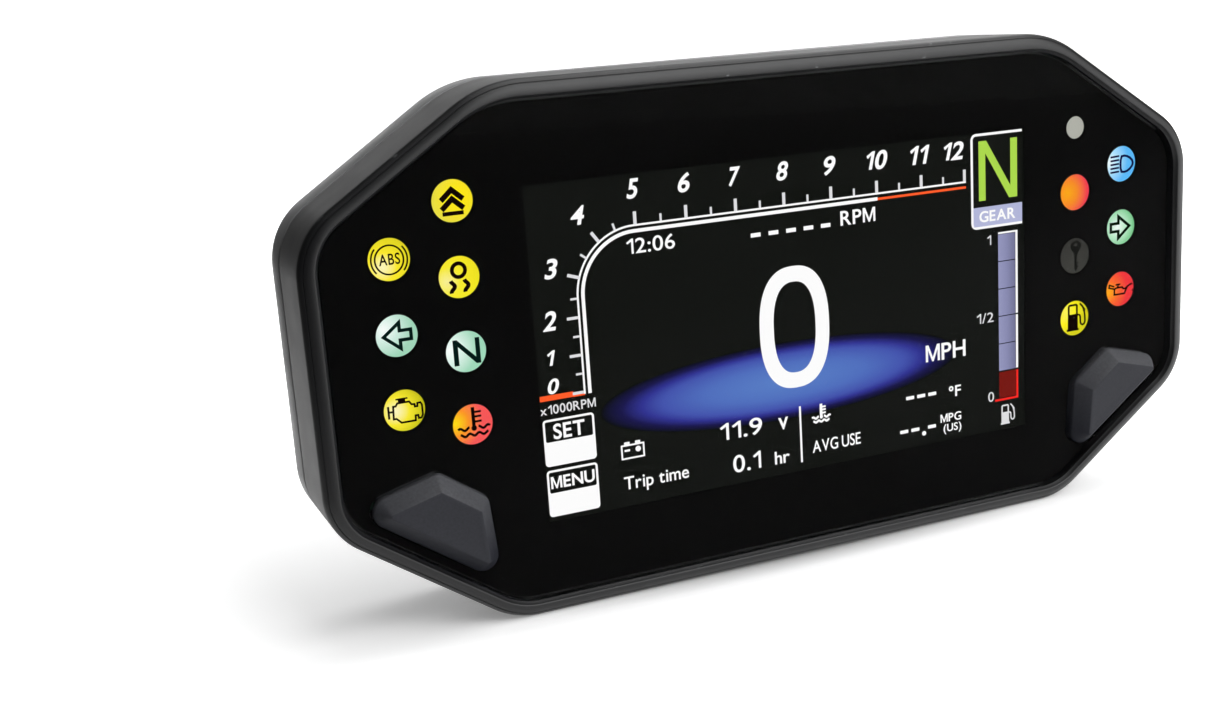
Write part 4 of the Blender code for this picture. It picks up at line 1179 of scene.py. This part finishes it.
def socket(paints):
    """Keyed shell with a latch ramp, the header inside it and two rows of pins."""
    half_x, half_z = SOCKET_HALF
    flange_front, flange_back = COVER_INSIDE - 2.8, COVER_INSIDE - 1.6

    def frame_ring(grow, radius):
        x, z = half_x + grow, half_z + grow
        return round_rectangle(-x, x, SOCKET_Z - z, SOCKET_Z + z, radius)

    shape = bmesh.new()
    inner = -SOCKET_WALL
    loft(shape, [
        (frame_ring(inner, 1.0), flange_front), (frame_ring(inner, 1.0), SOCKET_BACK - 0.5),
        (frame_ring(inner + 0.45, 1.3), SOCKET_BACK), (frame_ring(-0.35, 1.9), SOCKET_BACK),
        (frame_ring(0.0, 2.2), SOCKET_BACK - 0.4), (frame_ring(0.0, 2.2), flange_back),
        (frame_ring(2.5, 2.5), flange_back), (frame_ring(2.5, 2.5), flange_front),
    ], closed=True)
    shell_piece = finish_mesh("socket_shell", shape)
    extras = bmesh.new()
    top = SOCKET_Z + half_z
    for left, right in ((-4.5, -3.3), (3.3, 4.5)):
        flat(extras, [rectangle(left, right, top - 0.5, top + 1.3)], COVER_BACK + 1.0, SOCKET_BACK - 1.0)
    flat(extras, [rectangle(-2.2, 2.2, top - 0.5, top + 0.9)], SOCKET_BACK - 3.2, SOCKET_BACK - 1.4)
    for x in (-9.0, 9.0):
        low = SOCKET_Z - half_z + SOCKET_WALL
        flat(extras, [rectangle(x - 0.5, x + 0.5, low - 0.5, low + 0.8)], 24.0, SOCKET_BACK - 1.2)
    boolean(shell_piece, "UNION", finish_mesh("latch", extras))
    lay(shell_piece, paints["nylon"], replaces=["connector_shell"])
    face, pin_half, tip_half, row_offset = 23.0, 0.45, 0.2, 2.4
    shape = bmesh.new()
    x, z = half_x - SOCKET_WALL - 0.4, half_z - SOCKET_WALL - 0.4
    body = round_rectangle(-x, x, SOCKET_Z - z, SOCKET_Z + z, 0.8)
    rim = round_rectangle(-x + 0.3, x - 0.3, SOCKET_Z - z + 0.3, SOCKET_Z + z - 0.3, 0.5)
    header_front = depth_of(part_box("connector_header")[0].y)
    loft(shape, [(body, header_front), (body, face - 0.3), (rim, face)])
    header = finish_mesh("socket_header", shape)
    lay(header, paints["nylon"], replaces=["connector_header"])
    shape = bmesh.new()
    for row in (-1, 1):
        for number in range(PINS_IN_ROW):
            x = (number - (PINS_IN_ROW - 1) / 2) * PIN_PITCH
            z = SOCKET_Z + row * row_offset
            square = rectangle(x - pin_half, x + pin_half, z - pin_half, z + pin_half)
            tip = rectangle(x - tip_half, x + tip_half, z - tip_half, z + tip_half)
            loft(shape, [(square, face + 0.02), (square, PIN_BACK - 0.7), (tip, PIN_BACK)])
    lay(finish_mesh("socket_pins", shape), paints["tin"])


def star(radius):
    """A six-lobed outline for a screw's drive recess."""
    lobes, waist = 6, 0.72
    outline = []
    for turn in full_turn(48):
        reach = radius * (waist + (1 - waist) * (0.5 + 0.5 * math.cos(lobes * turn)))
        outline.append(Vector((reach * math.cos(turn), reach * math.sin(turn))))
    return outline


def screw_mesh(name, shank, head, front, seat, height):
    """A pan-head screw on the depth axis, with a star recess."""
    shape = bmesh.new()
    top = seat + height
    turned(shape, [
        (shank * 0.7, front), (shank, front + 0.6), (shank, seat), (head, seat), (head, seat + height * 0.45),
        (head * 0.96, seat + height * 0.68), (head * 0.85, top - 0.12), (head * 0.7, top),
    ], (0.0, 0.0), 40)
    screw = finish_mesh(name, shape)
    recess = sheet_piece("recess", [star(head * 0.5)], top - height * 0.55, top + 0.5)
    boolean(screw, "DIFFERENCE", recess)
    return screw


def copies_of(thing, places, names, replaced, paint):
    """Puts one piece at each place, sharing its mesh, and removes the pattern."""
    for (x, z), name, node in zip(places, names, replaced):
        copy = bpy.data.objects.new(name, thing.data)
        copy.location = ORIGIN + Vector((x, 0.0, z)) * MM
        bpy.context.scene.collection.objects.link(copy)
        lay(copy, paint, replaces=[node])
    bpy.data.objects.remove(thing)


def fasteners(paints):
    pattern = screw_mesh("case_screw", 1.1, 2.1, 8.0, CASE_SEAT + GAP, 2.0)
    nodes = [f"case_screw_{i + 1}" for i in range(6)]
    names = ["star_" + node for node in nodes]
    copies_of(pattern, screw_places(), names, nodes, paints["zinc"])

    pitch, thread = 0.8, 0.32
    front = BOSS_BACK - INSERT_LENGTH
    profile = [(INSERT_RADIUS, front), (INSERT_RADIUS, BOSS_BACK - 0.25), (INSERT_RADIUS - 0.2, BOSS_BACK)]
    profile += [(INSERT_BORE + 0.3, BOSS_BACK), (INSERT_BORE, BOSS_BACK - 0.4)]
    depth = BOSS_BACK - pitch
    while depth > front + 2.0:
        profile += [(INSERT_BORE - thread, depth), (INSERT_BORE, depth - pitch / 2)]
        depth -= pitch
    profile.append((INSERT_BORE, front + 1.5))
    shape = bmesh.new()
    turned(shape, profile, (0.0, 0.0), 48)
    nodes = [f"mount_insert_{i + 1}" for i in range(3)]
    names = [f"threaded_insert_{i + 1}" for i in range(3)]
    copies_of(finish_mesh("insert", shape), MOUNT_PLACES, names, nodes, paints["brass"])

    shape = bmesh.new()
    foot, back = COVER_BACK + GAP, COVER_BACK + 1.9
    turned(shape, [
        (1.6, COVER_INSIDE - 0.2), (1.6, foot), (4.2, foot), (4.2, back - 0.6),
        (4.05, back - 0.25), (3.6, back), (2.4, back), (2.2, back - 0.25), (0.6, back - 0.25),
    ], BREATHER_PLACE)
    lay(finish_mesh("vent_cap", shape), paints["nylon"], replaces=["breather_cap"])


def paint_inner_nodes(paints):
    """Procedural finishes for the frame's own nodes, by the start of each name."""
    finishes = {
        "housing_seal": "silicone", "connector_seal": "silicone",
        "display_panel": "panel", "display_frame": "zinc", "backlight_guide": "guide",
        "display_pad": "foam", "display_flex": "polyimide", "flex_connector": "nylon",
        "main_board": "board", "microcontroller": "nylon", "buzzer": "nylon", "capacitor": "can",
        "baffle": "white", "diffuser": "diffuser", "lamp_led": "led", "light_sensor": "nylon",
        "switch_body": "nylon", "switch_stem": "white", "breather_membrane": "white",
        "board_screw": "zinc",
    }
    for name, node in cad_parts.items():
        for start, finish in finishes.items():
            if name.startswith(start):
                node.data.materials.clear()
                node.data.materials.append(paints[finish])


# ---------------------------------------------------------------- studio

WORLD_LIGHT = 0.02
LIGHT_AIM = Vector((0.0, 0.0, 0.05))
PAPER_WHITE = 0.93
GLOW_NEAR, GLOW_FAR, GLOW_REACH = 0.62, 0.85, 0.6


def area_light(name, place, size, power):
    light = bpy.data.lights.new(name, "AREA")
    light.shape = "RECTANGLE"
    light.size, light.size_y = size
    light.energy = power
    thing = bpy.data.objects.new(name, light)
    thing.location = place
    thing.rotation_euler = (LIGHT_AIM - Vector(place)).to_track_quat("-Z", "Y").to_euler()
    bpy.context.scene.collection.objects.link(thing)


def oval_reach(paper, centre, half):
    """How far a point on the floor is from an oval's centre: 1 on the oval itself."""
    offset = paper.vector("SUBTRACT", paper.coordinates, (*centre, 0.0))
    scale = (1 / half[0], 1 / half[1], 0.0)
    return paper.vector("LENGTH", paper.vector("MULTIPLY", offset, scale))


def paper_paint():
    """White paper that glows, more so far back and less round the object, where a shadow is painted.

    Towards the front and the left it throws less light at the object than the camera sees.
    """
    paper = Paint("pale_paper", grey(PAPER_WHITE), 0.9, specular=0.1)
    forward = paper.vector("DOT_PRODUCT", paper.coordinates, (-0.5, -0.87, 0.0))
    front = paper.ramp(forward, [(0.0, grey(PAPER_WHITE)), (0.09, grey(PAPER_WHITE)), (0.18, grey(0.2))])
    leftward = paper.vector("DOT_PRODUCT", paper.coordinates, (-1.0, -0.05, 0.0))
    side = paper.ramp(leftward, [(0.0, grey(1.0)), (0.12, grey(1.0)), (0.22, grey(0.12))])
    # Painted contact shadow: an oval along the object's front foot darkens the paper the camera sees.
    under = oval_reach(paper, (0.0, -0.0135), (0.115, 0.0115))
    painted_contact_shadow = paper.ramp(under, [(0.1, grey(0.3)), (0.6, grey(0.76)), (1.0, grey(PAPER_WHITE))])
    seen = paper.node("ShaderNodeMix")
    seen.data_type = "RGBA"
    factor, bounced, direct = seen.inputs[0], seen.inputs[6], seen.inputs[7]
    paper.link(paper.node("ShaderNodeLightPath").outputs["Is Camera Ray"], factor)
    paper.link(paper.vector("MULTIPLY", front, side), bounced)
    paper.link(painted_contact_shadow, direct)
    shade = seen.outputs[2]
    paper.link(shade, paper.shader.inputs["Base Color"])

    # Painted shadow: the paper's glow is dimmed in a wide oval round the object.
    reach = oval_reach(paper, (-0.02, -0.02), (0.24, 0.13))
    painted_shadow_dim = paper.ramp(reach, [(0.3, grey(0.45)), (1.0, grey(1.0))])
    paper.glow(paper.vector("MULTIPLY", shade, painted_shadow_dim))
    apart = paper.node("ShaderNodeSeparateXYZ")
    paper.link(paper.coordinates, apart.inputs["Vector"])
    far = paper.map_range(apart.outputs["Y"], 0.0, GLOW_REACH, GLOW_NEAR, GLOW_FAR, kind="SMOOTHSTEP")
    paper.link(far, paper.shader.inputs["Emission Strength"])
    return paper.material


def studio_world():
    """White to the camera, and almost dark to the object, which the lights and the floor light."""
    world = bpy.data.worlds.new("studio")
    world.use_nodes = True
    nodes, links = world.node_tree.nodes, world.node_tree.links
    background = nodes["Background"]
    background.inputs["Color"].default_value = grey(1.0)
    level = nodes.new("ShaderNodeMath")
    level.operation = "MULTIPLY_ADD"
    level.inputs[1].default_value = 1.0 - WORLD_LIGHT
    level.inputs[2].default_value = WORLD_LIGHT
    links.new(nodes.new("ShaderNodeLightPath").outputs["Is Camera Ray"], level.inputs[0])
    links.new(level.outputs["Value"], background.inputs["Strength"])
    return world


def studio():
    scene = bpy.context.scene
    scene.view_settings.view_transform = "Standard"
    scene.world = studio_world()
    area_light("front_right", (0.45, -0.95, 0.35), (1.0, 0.8), 8.0)
    area_light("front_top", (0.43, -0.75, 0.9), (1.0, 0.6), 10.0)
    area_light("overhead", (0.35, 0.02, 1.15), (1.1, 1.0), 9.5)
    area_light("right", (1.1, -0.35, 0.3), (0.8, 0.8), 2.4)
    area_light("back_right", (0.8, 0.8, 0.9), (0.6, 0.6), 3.0)

    shape = bmesh.new()
    front, back, height, half, sweep = -1.2, 1.6, 1.2, 3.0, 0.6
    profile = [(front, 0.0), (back, 0.0)]
    for step in range(1, 9):
        turn = math.radians(90 * step / 8)
        profile.append((back + sweep * math.sin(turn), sweep * (1 - math.cos(turn))))
    profile.append((back + sweep, height))
    rows = [[shape.verts.new((x, y, z)) for y, z in profile] for x in (-half, half)]
    for i in range(len(profile) - 1):
        shape.faces.new((rows[0][i], rows[1][i], rows[1][i + 1], rows[0][i + 1]))
    mesh = bpy.data.meshes.new("floor")
    shape.to_mesh(mesh)
    shape.free()
    mesh.shade_smooth()
    floor = bpy.data.objects.new("floor", mesh)
    scene.collection.objects.link(floor)
    mesh.materials.append(paper_paint())


def camera():
    """A short tele view from the rider's upper left, a little rolled."""
    data = bpy.data.cameras.new("camera")
    data.sensor_width = 36.0
    data.lens = 43.87
    data.clip_start = 0.01
    thing = bpy.data.objects.new("camera", data)
    yaw = Matrix.Rotation(math.radians(-22.12), 3, "Z")
    pitch = Matrix.Rotation(math.radians(90 - 13.21), 3, "X")
    roll = Matrix.Rotation(math.radians(-4.05), 3, "Z")
    thing.matrix_world = (yaw @ pitch @ roll).to_4x4()
    thing.location = (-0.13996, -0.25860, 0.10866)
    bpy.context.scene.collection.objects.link(thing)
    bpy.context.scene.camera = thing


def main():
    camera()
    studio()
    paints = build_paints()
    front_housing(paints)
    rear_cover(paints)
    lens_and_film(paints)
    display_graphics()
    lamps()
    buttons(paints)
    socket(paints)
    fasteners(paints)
    paint_inner_nodes(paints)


main()
